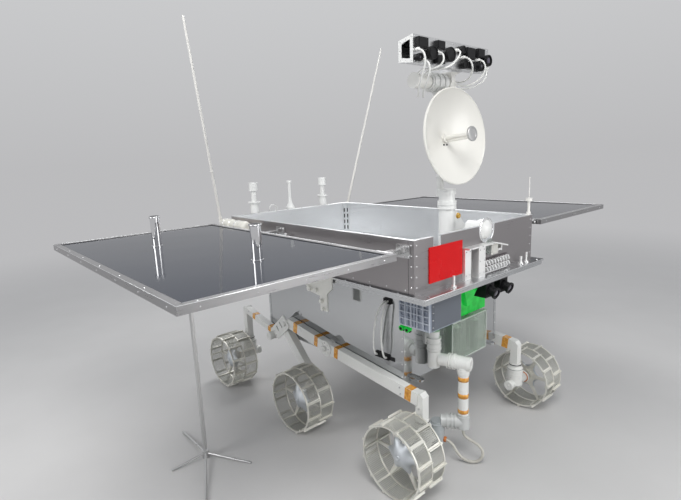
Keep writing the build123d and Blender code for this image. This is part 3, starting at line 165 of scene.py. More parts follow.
for name, place, target, size, power in (
    ("lamp_over_front", (1.9, -1.6, 3.3), (0.1, 0, 0.8), 1.8, 66),
    ("lamp_over_rear", (-1.8, 1.2, 3.6), (0, 0, 0.9), 2.2, 56),
    ("lamp_side", (-0.4, -3.6, 1.9), (0, 0, 0.6), 1.6, 36),
    ("lamp_fill", (3.6, 1.0, 1.2), (0.3, 0, 0.6), 1.8, 34),
):
    lamp = bpy.data.lights.new(name, "AREA")
    lamp.shape, lamp.size, lamp.energy = "DISK", size, power
    hung = add_object(name, lamp)
    hung.location = place
    hung.rotation_euler = (Vector(target) - Vector(place)).to_track_quat("-Z", "Y").to_euler()

# Arm cable: a pale sheathed cable that loops from under the elbow to the instrument head's connector.
# Side leads: two thin white leads that hang down the box's right side between their glands.
# Head leads: seven thin white leads that hang from the cameras' plugs and go back into the pivot tube.
def vary_colour(tree, shader, share, colour, darker, lighter):
    """Lets the colour drift between a darker and a lighter tone."""
    low, high = [(*[min(1, c * factor) for c in colour], 1) for factor in (darker, lighter)]
    tone = node(tree, "ShaderNodeMix", data_type="RGBA", Factor=share, A=low, B=high)
    feed(tree, shader.inputs["Base Color"], tone.outputs["Result"])


def vary_shine(tree, shader, share, low, high, from_low=0.0, from_high=1.0):
    """Lets the roughness drift between two values."""
    shine = node(
        tree, "ShaderNodeMapRange", Value=share, From_Min=from_low, From_Max=from_high, To_Min=low, To_Max=high
    )
    feed(tree, shader.inputs["Roughness"], shine.outputs["Result"])


def add_relief(tree, shader, height, strength, distance):
    """Fine relief, laid over the relief that the surface has already."""
    bump = node(tree, "ShaderNodeBump", Strength=strength, Distance=distance, Height=height)
    normal = shader.inputs["Normal"]
    if normal.is_linked:
        tree.links.new(normal.links[0].from_socket, bump.inputs["Normal"])
    tree.links.new(bump.outputs["Normal"], normal)


def sheath(name, colour, roughness, scale):
    """Soft plastic sheath: slight colour drift and fine pits."""
    material, tree, shader = new_material(name, colour, roughness)
    vary_colour(tree, shader, noise(tree, scale, 3.0), colour, 0.82, 1.08)
    add_relief(tree, shader, noise(tree, scale * 22, 2.0), 0.12, 0.0006)
    return material


CABLE_GREY = sheath("cable_grey_sheath", (0.58, 0.56, 0.50), 0.42, 40)
LEAD_WHITE = sheath("lead_white_sheath", (0.86, 0.86, 0.83), 0.38, 60)
ARM_CABLE = ("cable_grey", "forearm", CABLE_GREY, 0.012, "medium")
SIDE_LEAD = ("lead_white", "chassis", LEAD_WHITE, 0.008, "limp")
HEAD_LEAD = ("lead_white", "head", LEAD_WHITE, 0.007, "limp")
CORD_ROUTES = (
    ("arm_cable", ARM_CABLE, (
        (0.697, -0.150, 0.134), (0.697, -0.150, 0.119), (0.708, -0.147, 0.103), (0.733, -0.141, 0.093),
        (0.762, -0.133, 0.084), (0.781, -0.128, 0.060), (0.779, -0.131, 0.030), (0.759, -0.146, 0.0095),
        (0.733, -0.165, 0.010), (0.710, -0.181, 0.026), (0.696, -0.192, 0.049), (0.684, -0.196, 0.072),
        (0.669, -0.200, 0.086), (0.653, -0.205, 0.092),
    )),
    ("side_lead_front", SIDE_LEAD, (
        (0.472, -0.352, 0.694), (0.472, -0.362, 0.694), (0.471, -0.373, 0.676), (0.464, -0.377, 0.636),
        (0.457, -0.378, 0.595), (0.454, -0.377, 0.550), (0.454, -0.376, 0.508), (0.455, -0.372, 0.474),
        (0.456, -0.362, 0.446), (0.456, -0.352, 0.446),
    )),
    ("side_lead_rear", SIDE_LEAD, (
        (0.458, -0.352, 0.692), (0.458, -0.362, 0.692), (0.450, -0.373, 0.674), (0.430, -0.376, 0.636),
        (0.419, -0.376, 0.596), (0.411, -0.376, 0.552), (0.406, -0.375, 0.510), (0.404, -0.371, 0.476),
        (0.403, -0.362, 0.448), (0.403, -0.352, 0.448),
    )),
    ("head_lead_left_outer", HEAD_LEAD, (
        (0.547, -0.256, 1.650), (0.578, -0.256, 1.650), (0.589, -0.248, 1.606), (0.556, -0.236, 1.552),
        (0.516, -0.206, 1.508), (0.478, -0.164, 1.492), (0.465, -0.143, 1.506), (0.465, -0.143, 1.533),
    )),
    ("head_lead_left_inner", HEAD_LEAD, (
        (0.547, -0.226, 1.615), (0.578, -0.226, 1.615), (0.586, -0.219, 1.574), (0.552, -0.204, 1.530),
        (0.514, -0.174, 1.502), (0.480, -0.132, 1.494), (0.465, -0.113, 1.507), (0.465, -0.113, 1.533),
    )),
    ("head_lead_top_outer", HEAD_LEAD, (
        (0.547, -0.141, 1.6515), (0.579, -0.141, 1.6515), (0.590, -0.140, 1.618), (0.572, -0.148, 1.596),
        (0.534, -0.156, 1.592), (0.4971, -0.167, 1.5983), (0.4843, -0.167, 1.583),
    )),
    ("head_lead_top_inner", HEAD_LEAD, (
        (0.547, -0.014, 1.672), (0.578, -0.014, 1.672), (0.584, -0.042, 1.634), (0.566, -0.076, 1.602),
        (0.530, -0.112, 1.594), (0.4952, -0.128, 1.596), (0.4824, -0.128, 1.5807),
    )),
    ("head_lead_right_inner", HEAD_LEAD, (
        (0.547, 0.030, 1.650), (0.579, 0.030, 1.650), (0.592, 0.048, 1.614), (0.572, 0.068, 1.584),
        (0.536, 0.090, 1.569), (0.498, 0.103, 1.566), (0.478, 0.100, 1.569), (0.478, 0.075, 1.569),
    )),
    ("head_lead_right_middle", HEAD_LEAD, (
        (0.547, 0.136, 1.650), (0.579, 0.136, 1.650), (0.590, 0.146, 1.614), (0.570, 0.150, 1.582),
        (0.536, 0.136, 1.557), (0.504, 0.116, 1.551), (0.483, 0.103, 1.556), (0.483, 0.075, 1.556),
    )),
    ("head_lead_right_outer", HEAD_LEAD, (
        (0.560, 0.200, 1.6289), (0.560, 0.200, 1.602), (0.560, 0.180, 1.568), (0.530, 0.146, 1.545),
        (0.496, 0.120, 1.540), (0.472, 0.104, 1.545), (0.472, 0.075, 1.545),
    )),
)


def add_spline(line, kind, points):
    """A run of points in a curve."""
    spline = line.splines.new(kind)
    spline.points.add(len(points) - 1)
    for point, place in zip(spline.points, points):
        point.co = (*place, 1)
    return spline


for name, (slot, body, material, diameter, stiffness), points in CORD_ROUTES:
    line = bpy.data.curves.new(name + "_line", "CURVE")
    line.dimensions = "3D"
    line.resolution_u = 12
    line.bevel_depth, line.bevel_resolution = diameter / 2, 4
    line.use_fill_caps = True
    spline = add_spline(line, "NURBS", points)
    spline.order_u = 3
    spline.use_endpoint_u = True
    cord = add_object(name + "_line", line)
    cord.data.materials.append(material)
    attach(cord, body)
    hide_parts(name)
    # A smooth line cuts the corners between its points, by about 3 percent of their run
    length = sum((Vector(b) - Vector(a)).length for a, b in zip(points, points[1:])) * 0.97

# Lower box: folded bright sheet, closed on all sides, with cover strips down its corners and a lug at each
# bottom corner. The sheets are riveted to the strips, and a black cable pocket is let into the right side.
SIDES = RIGHT, LEFT = -1, 1
UP = (0, 0, 1)


def bright_sheet(name, colour, rough_low, rough_high, stretch, waviness, grain=0.02):
    """Rolled sheet: streaks along the rolling direction, faint dents and uneven shine."""
    material, tree, shader = new_material(name, colour, rough_low, 1.0)
    place = node(tree, "ShaderNodeTexCoord").outputs["Object"]
    streak = noise(tree, 1.0, 5.0, node(tree, "ShaderNodeMapping", Vector=place, Scale=stretch).outputs["Vector"])
    both = node(tree, "ShaderNodeMix", data_type="FLOAT", Factor=0.45, A=streak, B=noise(tree, 7.0, 4.0))
    vary_shine(tree, shader, both.outputs["Result"], rough_low, rough_high, 0.3, 0.7)
    vary_colour(tree, shader, both.outputs["Result"], colour, 0.94, 1.04)
    add_relief(tree, shader, noise(tree, 4.5, 1.0), waviness, 0.01)
    add_relief(tree, shader, streak, grain, 0.0004)
    return material


def matt_black(name, colour, roughness):
    """Black rubber or shade in a gap: uneven tone and a dry, grainy surface."""
    material, tree, shader = new_material(name, colour, roughness, Specular_IOR_Level=0.3)
    cloud = noise(tree, 55.0, 5.0)
    vary_colour(tree, shader, cloud, colour, 0.5, 1.6)
    add_relief(tree, shader, cloud, 0.2, 0.0004)
    return material


def dress(finish, *names):
    """Gives CAD nodes their finish."""
    for name in names:
        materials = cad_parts[name].data.materials
        materials.clear()
        materials.append(finish)


def bevelled_box(shape, one, other, bevel=0.001, place=Matrix()):
    """A box between two opposite corners, with softened edges, that is then moved to its place."""
    made = bmesh.ops.create_cube(shape, size=1)["verts"]
    for vert in made:
        vert.co = [min(a, b) + (c + 0.5) * abs(b - a) for a, b, c in zip(one, other, vert.co)]
    edges = {edge for vert in made for edge in vert.link_edges}
    softened = bmesh.ops.bevel(shape, geom=list(edges), offset=bevel, segments=2, affect="EDGES", profile=0.6)
    for vert in softened["verts"]:
        vert.co = place @ vert.co


def finish_piece(piece, body, material=None, smooth=False):
    """Material, shading and body of a finished piece."""
    if material is not None:
        piece.data.materials.clear()
        piece.data.materials.append(material)
    for face in piece.data.polygons:
        face.use_smooth = smooth
    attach(piece, body)


def assemble(name, form, rows, body, material, smooth=False):
    """A finished piece out of closed forms, form(bmesh, *row) for each row, with all their faces outwards."""

    def build(shape):
        for values in rows:
            form(shape, *values)
        bmesh.ops.recalc_face_normals(shape, faces=shape.faces)

    finish_piece(add_mesh(name, build), body, material, smooth)


def new_group(name, **inputs):
    """An empty Geometry Nodes group with these named inputs, and its given values."""
    tree = bpy.data.node_groups.new(name, "GeometryNodeTree")
    for key, kind in inputs.items():
        tree.interface.new_socket(key.replace("_", " "), in_out="INPUT", socket_type="NodeSocket" + kind)
    tree.interface.new_socket("Result", in_out="OUTPUT", socket_type="NodeSocketGeometry")
    return tree, node(tree, "NodeGroupInput").outputs


def close_group(tree, grown, finish):
    """Ends a group in real geometry with its material."""
    real = node(tree, "GeometryNodeRealizeInstances", grown)
    coat = node(tree, "GeometryNodeSetMaterial", Geometry=real.outputs["Geometry"], Material=finish)
    node(tree, "NodeGroupOutput", coat.outputs["Geometry"])


def evaluated_mesh(piece):
    """A plain mesh of a piece as its modifier or its curve's bevel leaves it."""
    bpy.context.view_layer.update()
    return bpy.data.meshes.new_from_object(piece.evaluated_get(bpy.context.evaluated_depsgraph_get()))


def grow(piece, tree, **inputs):
    """Runs a group on a piece once, with named inputs, and keeps the result as its mesh."""
    modifier = piece.modifiers.new("grow", "NODES")
    modifier.node_group = tree
    for item in tree.interface.items_tree:
        key = item.name.replace(" ", "_")
        if item.item_type == "SOCKET" and item.in_out == "INPUT" and key in inputs:
            modifier[item.identifier] = inputs[key]
    grown = evaluated_mesh(piece)
    piece.modifiers.clear()
    piece.data = grown


# Low heads on points, turned to each point's facing
FASTENERS, given = new_group(
    "fastener_heads",
    Places="Geometry", Head_Radius="Float", Head_Height="Float", Crown="Float", Sides="Int", Finish="Material",
)
head = node(
    FASTENERS,
    "GeometryNodeMeshCone",
    Vertices=given["Sides"],
    Radius_Top=maths(FASTENERS, "MULTIPLY", given["Head Radius"], given["Crown"]),
    Radius_Bottom=given["Head Radius"],
    Depth=given["Head Height"],
)
facing = node(FASTENERS, "GeometryNodeInputNamedAttribute", data_type="FLOAT_VECTOR", Name="facing")
turn = node(FASTENERS, "FunctionNodeAlignRotationToVector", axis="Z", Vector=facing.outputs["Attribute"])
heads = node(
    FASTENERS,
    "GeometryNodeInstanceOnPoints",
    Points=given["Places"],
    Instance=head.outputs["Mesh"],
    Rotation=turn.outputs["Rotation"],
)
close_group(FASTENERS, heads.outputs["Instances"], given["Finish"])
BOX_SHEET = bright_sheet("box_bright_sheet", (0.54, 0.55, 0.56), 0.05, 0.13, (5, 5, 260), 0.12)
STRIP_SHEET = bright_sheet("strip_satin_sheet", (0.84, 0.85, 0.86), 0.28, 0.38, (8, 8, 300), 0.03)
RIVET_METAL = bright_sheet("rivet_metal", (0.74, 0.74, 0.75), 0.22, 0.34, (60, 60, 60), 0.02)
POCKET_BLACK = matt_black("pocket_black", (0.012, 0.012, 0.013), 0.46)
DARK_GAP = matt_black("dark_gap", (0.020, 0.022, 0.025), 0.60)
HEXAGON = (6, 0.9)


def fasteners(name, body, slot, places, radius, height, sides=10, crown=0.62, finish=RIVET_METAL):
    """Rivet or screw heads at (point, facing) pairs."""
    mesh = bpy.data.meshes.new(name)
    mesh.from_pydata([point for point, _ in places], [], [])
    ways = mesh.attributes.new("facing", "FLOAT_VECTOR", "POINT")
    ways.data.foreach_set("vector", [value for _, way in places for value in Vector(way).normalized()])
    piece = add_object(name, mesh)
    grow(piece, FASTENERS, Head_Radius=radius, Head_Height=height, Crown=crown, Sides=sides, Finish=finish)
    finish_piece(piece, body)


def row(start, end, count, way):
    """Evenly spaced (point, facing) pairs from start to end."""
    start, end = Vector(start), Vector(end)
    return [(start.lerp(end, n / (count - 1)), way) for n in range(count)]


BOX_FRONT, BOX_REAR, BOX_SIDE, BOX_LOW, BOX_HIGH = 0.545, -0.428, 0.344, 0.354, 0.745
STRIP, COVER, FOLD = 0.016, 0.0012, 0.0005
dress(BOX_SHEET, "lower_body")
strips, rivets = [], []
for side in SIDES:
    wall, cover = side * BOX_SIDE, side * (BOX_SIDE + COVER)
    strips.append(((BOX_REAR, wall, BOX_LOW), (BOX_FRONT, cover, BOX_LOW + STRIP), FOLD))
    low_z = BOX_LOW + STRIP / 2
    rivets += row((BOX_REAR + 0.06, cover, low_z), (BOX_FRONT - 0.06, cover, low_z), 15, (0, side, 0))
    for end, x in ((1, BOX_FRONT), (-1, BOX_REAR)):
        strips.append(((x, wall, BOX_LOW), (x - end * STRIP, cover, BOX_HIGH), FOLD))
        strips.append(((x, wall, BOX_LOW), (x + end * COVER, side * (BOX_SIDE - STRIP), BOX_HIGH), FOLD))
        for place, way in (
            ((x - end * STRIP / 2, cover), (0, side, 0)),
            ((x + end * COVER, side * (BOX_SIDE - STRIP / 2)), (end, 0, 0)),
        ):
            rivets += row((*place, BOX_LOW + 0.03), (*place, BOX_HIGH - 0.03), 7, way)
assemble("box_cover_strips", bevelled_box, strips, "chassis", BOX_SHEET)
fasteners("box_rivets", "chassis", "sheet_metal", rivets, 0.0032, 0.0014)
pockets = (
    ((0.430, -0.3462, 0.437), (0.497, -0.3438, 0.454), 0.0008),
    ((0.392, -0.3462, 0.438), (0.414, -0.3438, 0.458), 0.0008),
)
assemble("cable_pocket", bevelled_box, pockets, "chassis", POCKET_BLACK)

# Ledge: an aluminium deck plate on a lower frame, standing out all round the box, with screws down its edges.
# Both have a rounded bead round them, lighter than the plate as a painted highlight, and a cast bracket hangs below the
# plate on each side.
LEDGE_FRONT, LEDGE_REAR, LEDGE_SIDE, DECK = 0.731, -0.684, 0.439, 0.771
dress(bright_sheet("ledge_aluminium", (0.62, 0.63, 0.64), 0.22, 0.34, (6, 6, 220), 0.04), "ledge_frame")
dress(bright_sheet("bracket_cast", (0.88, 0.88, 0.84), 0.48, 0.62, (90, 90, 90), 0.03, 0.12), "side_brackets")
beads, screws = [], []
for drop, inset in ((0.0012, 0.0), (0.0092, 0.006)):
    low_z, high_z = DECK - drop - 0.0018, DECK - drop + 0.0012
    front, rear, edge = LEDGE_FRONT - inset, LEDGE_REAR + inset, LEDGE_SIDE - inset
    for side in SIDES:
        beads.append(((rear, side * (edge - 0.001), low_z), (front, side * (edge + 0.0012), high_z), 0.0007))
    for end, x in ((1, front), (-1, rear)):
        beads.append(((x - end * 0.001, -edge, low_z), (x + end * 0.0012, edge, high_z), 0.0007))
# The beads are lighter than the plate: a painted highlight along its edges.
assemble("ledge_edge_beads", bevelled_box, beads, "chassis", STRIP_SHEET, True)
for side in SIDES:
    screws += row((-0.56, side * 0.4335, DECK), (0.60, side * 0.4335, DECK), 9, UP)
screws += row((0.716, -0.40, DECK), (0.716, 0.40, DECK), 7, UP)
screws += row((-0.672, -0.36, DECK), (-0.672, 0.36, DECK), 5, UP)
fasteners("ledge_screws", "chassis", "fixture_metal", screws, 0.0042, 0.0028, *HEXAGON)

# Tray: an open sheet box, bright and brushed inside, with painted shade that makes it darker grey outside,
# a rounded rim whose bright bead is a painted highlight, seams in the corners, slotted angles with painted shade
# in their slots, and a round notch and a slot in its front wall.
TRAY_FRONT, TRAY_REAR, TRAY_SIDE, TRAY_TOP = 0.673, -0.626, 0.427, 0.975
NOTCH_Y, NOTCH_Z, NOTCH_HALF, SLOT_LOW, SLOT_HIGH = 0.041, 0.954, 0.054, -0.317, -0.271


def overlay(tree, shader, key, share, value):
    """Puts another value over a shader input where share is 1."""
    socket = shader.inputs[key]
    old = socket.links[0].from_socket if socket.is_linked else socket.default_value
    kind = "RGBA" if key == "Base Color" else "FLOAT"
    both = node(tree, "ShaderNodeMix", data_type=kind, Factor=share, A=old, B=value)
    tree.links.new(both.outputs["Result"], socket)


def bead(name, runs, radius, cyclic=False):
    """A round bead along each run of points, as a plain mesh."""
    line = bpy.data.curves.new(name, "CURVE")
    line.dimensions = "3D"
    line.bevel_depth, line.bevel_resolution = radius, 2
    line.use_fill_caps = not cyclic
    for points in runs:
        add_spline(line, "POLY", points).use_cyclic_u = cyclic
    drawn = add_object(name, line)
    mesh = evaluated_mesh(drawn)
    bpy.data.objects.remove(drawn)
    bpy.data.curves.remove(line)
    return add_object(name, mesh)


TRAY_ALU = bright_sheet("tray_brushed_aluminium", (0.86, 0.87, 0.88), 0.26, 0.36, (5, 5, 240), 0.03)
tree = TRAY_ALU.node_tree
shader = tree.nodes["Principled BSDF"]
spot = node(tree, "ShaderNodeSeparateXYZ", node(tree, "ShaderNodeTexCoord").outputs["Object"]).outputs
# Painted shade: the tray's outer faces get a darker grey than its bright inside.
painted_shade_outside = 0.0
for axis, low, high in (("X", TRAY_REAR, TRAY_FRONT), ("Y", -TRAY_SIDE, TRAY_SIDE)):
    away = maths(tree, "ABSOLUTE", maths(tree, "SUBTRACT", spot[axis], (low + high) / 2))
    painted_shade_outside = maths(tree, "MAXIMUM", painted_shade_outside, maths(tree, "GREATER_THAN", away, (high - low) / 2 - 0.0006))
overlay(tree, shader, "Base Color", painted_shade_outside, (0.38, 0.36, 0.365, 1))
dress(TRAY_ALU, "tray")
dress(bright_sheet("tray_floor_aluminium", (0.80, 0.81, 0.82), 0.28, 0.40, (5, 240, 5), 0.03), "tray_floor")
front, rear, outer = TRAY_FRONT - 0.001, TRAY_REAR + 0.001, TRAY_SIDE - 0.001
rim_plan = (
    (front, NOTCH_Y + NOTCH_HALF), (front, outer), (rear, outer), (rear, -outer), (front, -outer), (front, SLOT_LOW),
)
notch_turns = [math.radians(turn) for turn in range(0, 181, 10)]
rim_runs = (
    [(x, y, TRAY_TOP) for x, y in rim_plan],
    [(front, SLOT_HIGH, TRAY_TOP), (front, NOTCH_Y - NOTCH_HALF, TRAY_TOP)],
    [
        (front, NOTCH_Y - NOTCH_HALF, TRAY_TOP),
        *[(front, NOTCH_Y - NOTCH_HALF * math.cos(a), NOTCH_Z - NOTCH_HALF * math.sin(a)) for a in notch_turns],
        (front, NOTCH_Y + NOTCH_HALF, TRAY_TOP),
    ],
)
# The rim bead's bright strip is a painted highlight along the tray's top edge.
finish_piece(bead("tray_rim_bead", rim_runs, 0.0022), "chassis", STRIP_SHEET, True)
slots, seams, rivets = [], [], []
for side in SIDES:
    wall, rim = side * TRAY_SIDE, side * (TRAY_SIDE - 0.009)
    rivets += row((-0.58, wall, 0.786), (0.63, wall, 0.786), 14, (0, side, 0))
    rivets += row((-0.58, rim, TRAY_TOP), (0.63, rim, TRAY_TOP), 12, UP)
    for x, way in ((TRAY_REAR, -1), (TRAY_FRONT, 1)):
        beside, corner = x - way * 0.014, side * (TRAY_SIDE - 0.014)
        rivets += row((beside, wall, 0.80), (beside, wall, 0.955), 5, (0, side, 0))
        rivets += row((x, corner, 0.80), (x, corner, 0.955), 5, (way, 0, 0))
        inner_x, inner_y = x - way * 0.0072, side * (TRAY_SIDE - 0.0072)
        for z in (0.800, 0.838, 0.876, 0.914):
            far_x, far_y = inner_x - way * 0.019, inner_y - side * 0.0006
            slots.append(((inner_x - way * 0.010, inner_y, z), (far_x, far_y, z + 0.024), 0.0002))
            far_x, far_y = inner_x - way * 0.0006, inner_y - side * 0.019
            slots.append(((inner_x, inner_y - side * 0.010, z), (far_x, far_y, z + 0.024), 0.0002))
    for x in (TRAY_REAR + 0.027, TRAY_FRONT - 0.028):
        seams.append(((x, wall, DECK), (x + 0.0012, wall + side * 0.0004, TRAY_TOP - 0.004), 0.0001))
rivets += row((TRAY_REAR, -0.36, 0.786), (TRAY_REAR, 0.36, 0.786), 8, (-1, 0, 0))
rivets += row((TRAY_REAR + 0.009, -0.36, TRAY_TOP), (TRAY_REAR + 0.009, 0.36, TRAY_TOP), 8, UP)
# The dark inlays in the angles' slots are painted shade in the openings.
assemble("corner_angle_slots", bevelled_box, slots, "chassis", DARK_GAP)
fasteners("tray_rivets", "chassis", "sheet_metal", rivets, 0.003, 0.0013)
assemble("tray_seams", bevelled_box, seams, "chassis", DARK_GAP)

# Notch lamp: a white moulded lamp that stands in the tray's notch, with a domed glass of moulded rings in its rim
# and a bright half hoop round its upper side.
lamp_low, lamp_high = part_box("notch_lamp")
LAMP_FACE = Vector((lamp_high[0], (lamp_low[1] + lamp_high[1]) / 2, (lamp_low[2] + lamp_high[2]) / 2))


def lacquer(name, colour, roughness, coat, scale=9.0, drift=0.10, pits=0.05, **inputs):
    """Painted or moulded surface: a little colour drift, orange peel and wear in its shine."""
    material, tree, shader = new_material(name, colour, roughness, Coat_Weight=coat, Coat_Roughness=0.12, **inputs)
    cloud = noise(tree, scale, 6.0)
    vary_colour(tree, shader, cloud, colour, 1 - drift, 1 + drift / 2)
    vary_shine(tree, shader, cloud, roughness * 0.75, min(1, roughness * 1.3))
    add_relief(tree, shader, noise(tree, 420.0, 2.0), pits, 0.0006)
    return material


def loft(shape, loops, closed=False):
    """Faces between loops of points, with a cap on both ends, or with the last loop joined to the first."""
    loops = [[shape.verts.new(point) for point in loop] for loop in loops]
    for one, two in zip(loops, loops[1:] + loops[:1] if closed else loops[1:]):
        count = max(len(one), len(two))
        for k in range(count):
            following = (k + 1) % count
            if len(one) == 1:
                shape.faces.new((one[0], two[following], two[k]))
            elif len(two) == 1:
                shape.faces.new((one[k], one[following], two[0]))
            else:
                shape.faces.new((one[k], one[following], two[following], two[k]))
    for loop in () if closed else (loops[0], loops[-1]):
        if len(loop) > 1:
            shape.faces.new(loop)


def half_hoop(shape):
    """An oval section carried round the notch from 20 degrees below level on one side to the other."""
    section = [math.radians(45 * k) for k in range(8)]
    loops = []
    for step in range(25):
        turn = math.radians(-20 + step * 220 / 24)
        outward = Vector((0, math.cos(turn), math.sin(turn)))
        centre = Vector((TRAY_FRONT - 0.004, NOTCH_Y, 0.955)) + outward * 0.0465
        loops.append([centre + outward * 0.0032 * math.cos(a) + Vector((0.0045 * math.sin(a), 0, 0)) for a in section])
    loft(shape, loops)


def lens_ring(shape, inner, outer, rise):
    """One moulded ring of the glass."""
    section = ((outer, 0.0002), (outer - 0.0012, rise), (inner + 0.0012, rise + 0.0006), (inner + 0.0002, 0.0002))
    turns = [math.radians(10 * k) for k in range(36)]
    loops = [[LAMP_FACE + Vector((lift, r * math.cos(a), r * math.sin(a))) for a in turns] for r, lift in section]
    loft(shape, loops, closed=True)


dress(lacquer("lamp_white", (0.80, 0.80, 0.78), 0.28, 0.4), "notch_lamp")
CHROME = bright_sheet("chrome_polish", (0.83, 0.83, 0.84), 0.03, 0.09, (20, 20, 20), 0.03, 0.01)
assemble("notch_bright_ring", half_hoop, [()], "chassis", CHROME, True)
LAMP_GLASS, tree, shader = new_material(
    "lamp_ringed_glass", (0.30, 0.33, 0.31), 0.08, Transmission_Weight=0.35, Coat_Weight=0.6
)
vary_shine(tree, shader, noise(tree, 70.0, 3.0), 0.05, 0.22)
lens_rings = ((0.0, 0.009, 0.0030), (0.009, 0.018, 0.0022), (0.018, 0.027, 0.0016), (0.027, 0.034, 0.0010))
assemble("lamp_lens", lens_ring, lens_rings, "chassis", LAMP_GLASS, True)

# Front plate: a plain sheet plate, painted glossy red and glued to the tray's front wall.
# Its paint has a soft gloss, so that the plate keeps its colour under the lamps.
PLATE_RED = (0.66, 0.003, 0.005)
dress(lacquer("plate_red_gloss", PLATE_RED, 0.26, 0.12, 5.0, 0.10, 0.02, Specular_IOR_Level=0.18), "front_plate")

# Front fixtures: a folded channel frame with a cap, a block with its short tube, rows of slanted louvre tubes,
# and three pins on the ledge, all clear-coated aluminium. The wall behind the louvres lies in a dark shade, painted as
# a dark zone of the fixture and a dark plate behind them.
LOUVRE_TOP, LOUVRE_LOW = 0.816, 0.790


def second_tone(material, zone, colour, metallic, roughness):
    """Gives what lies in a zone of Object coordinates another colour and shine, for another part of the node and for
    painted shade.
    """
    tree = material.node_tree
    shader = tree.nodes["Principled BSDF"]
    spot = node(tree, "ShaderNodeSeparateXYZ", node(tree, "ShaderNodeTexCoord").outputs["Object"]).outputs
    inside = 1.0
    for axis, (low, high) in zone.items():
        within = maths(tree, "COMPARE", spot[axis], (low + high) / 2, (high - low) / 2)
        inside = maths(tree, "MULTIPLY", inside, within)
    for key, value in (("Base Color", (*colour, 1)), ("Metallic", metallic), ("Roughness", roughness)):
        overlay(tree, shader, key, inside, value)


FIXTURE_ALU = bright_sheet("fixture_aluminium", (0.92, 0.92, 0.91), 0.44, 0.56, (40, 40, 200), 0.02)
# Painted shade: the fixture turns dark and dull where it lies behind the louvres.
second_tone(FIXTURE_ALU, {"Y": (0.003, 0.22), "Z": (0.774, 0.834)}, (0.10, 0.085, 0.09), 0.0, 0.5)
dress(FIXTURE_ALU, "front_fixtures")
FIXTURE_BLOCK = lacquer("fixture_block_ivory", (0.62, 0.61, 0.57), 0.5, 0.0, 30.0, 0.16, 0.15)
block = (
    ((0.6735, 0.0365, 0.8502), (0.7002, 0.0885, 0.8965), 0.002),
    ((0.7000, 0.0440, 0.8560), (0.7022, 0.0810, 0.8900), 0.0008),
)
assemble("fixture_block_cover", bevelled_box, block, "chassis", FIXTURE_BLOCK)
screws = [((0.7031, y, z), (1, 0, 0)) for y in (-0.054, -0.024) for z in (0.79, 0.84, 0.886)]
screws += [((0.6873, y, z), (1, 0, 0)) for y in (-0.126, -0.100) for z in (0.79, 0.886)]
screws += [((0.7073, y, 0.9), (1, 0, 0)) for y in (-0.12, -0.04, 0.04)]
fasteners("fixture_screws", "chassis", "fixture_metal", screws, 0.0032, 0.0018, 6, 0.85)
# A dark plate of painted shade on the wall behind the louvres.
shade = [((0.6732, 0.000, 0.7755), (0.6746, 0.205, 0.8290), 0.0005)]
LOUVRE_DARK = matt_black("louvre_dark", (0.055, 0.045, 0.048), 0.5)
assemble("louvre_shade", bevelled_box, shade, "chassis", LOUVRE_DARK)
slant = Matrix.Rotation(math.radians(32), 4, "X")
caps = []
for level in (LOUVRE_TOP, LOUVRE_LOW):
    for n in range(9):
        place = Matrix.Translation((0, 0.016 + n * 0.022 - (level - LOUVRE_TOP) / 4, level)) @ slant
        caps.append(((0.6780, -0.0035, -0.0108), (0.6925, 0.0035, 0.0108), 0.0014, place))
LOUVRE_WHITE = lacquer("louvre_white", (0.86, 0.86, 0.85), 0.34, 0.3)
assemble("louvre_caps", bevelled_box, caps, "chassis", LOUVRE_WHITE)

# Ribbed module: a dark moulded case, screwed up under the ledge, with a pale lattice of ribs on its outer side.
# Its front is a plain stepped face with four pins down its edge.
MODULE_REAR, MODULE_FRONT, MODULE_LOW, MODULE_HIGH, RIB = 0.549, 0.699, 0.622, 0.738, 0.005
dress(lacquer("module_blue_grey", (0.36, 0.40, 0.48), 0.42, 0.1, 14.0, 0.16, 0.12), "ribbed_module")
ribs = []
for n in range(6):
    x = MODULE_REAR + n * (MODULE_FRONT - MODULE_REAR - RIB) / 5
    ribs.append(((x, -0.3745, MODULE_LOW), (x + RIB, -0.3700, MODULE_HIGH), 0.0012))
for n in range(5):
    z = MODULE_LOW + n * (MODULE_HIGH - MODULE_LOW - RIB) / 4
    ribs.append(((MODULE_REAR, -0.3735, z), (MODULE_FRONT, -0.3700, z + RIB), 0.0012))
RIB_PALE = lacquer("module_rib_pale", (0.58, 0.62, 0.69), 0.38, 0.2, 14.0, 0.12, 0.1)
assemble("module_lattice", bevelled_box, ribs, "chassis", RIB_PALE)
pins = [((0.7015, -0.357, z), (1, 0, 0)) for z in (0.640, 0.668, 0.696, 0.722)]
fasteners("module_pins", "chassis", "fixture_metal", pins, 0.0026, 0.0040)
steps = (
    ((0.6985, -0.362, 0.626), (0.7015, -0.180, 0.734), 0.001),
    ((0.7010, -0.352, 0.634), (0.7026, -0.190, 0.726), 0.0007),
)
MODULE_SLATE = lacquer("module_slate", (0.12, 0.135, 0.16), 0.45, 0.1)
assemble("module_front_face", bevelled_box, steps, "chassis", MODULE_SLATE)

# Hazard cameras: black anodised housings under the ledge with hooded barrels and coated lenses, tilted down.
# Their barrels are turned with three grip rings each.
TILT = math.radians(16)
LENS_WAY = Vector((math.cos(TILT), 0, -math.sin(TILT)))
HAZARD_ROOTS = [Vector((0.695, y, 0.707)) for y in (0.020, 0.128)]


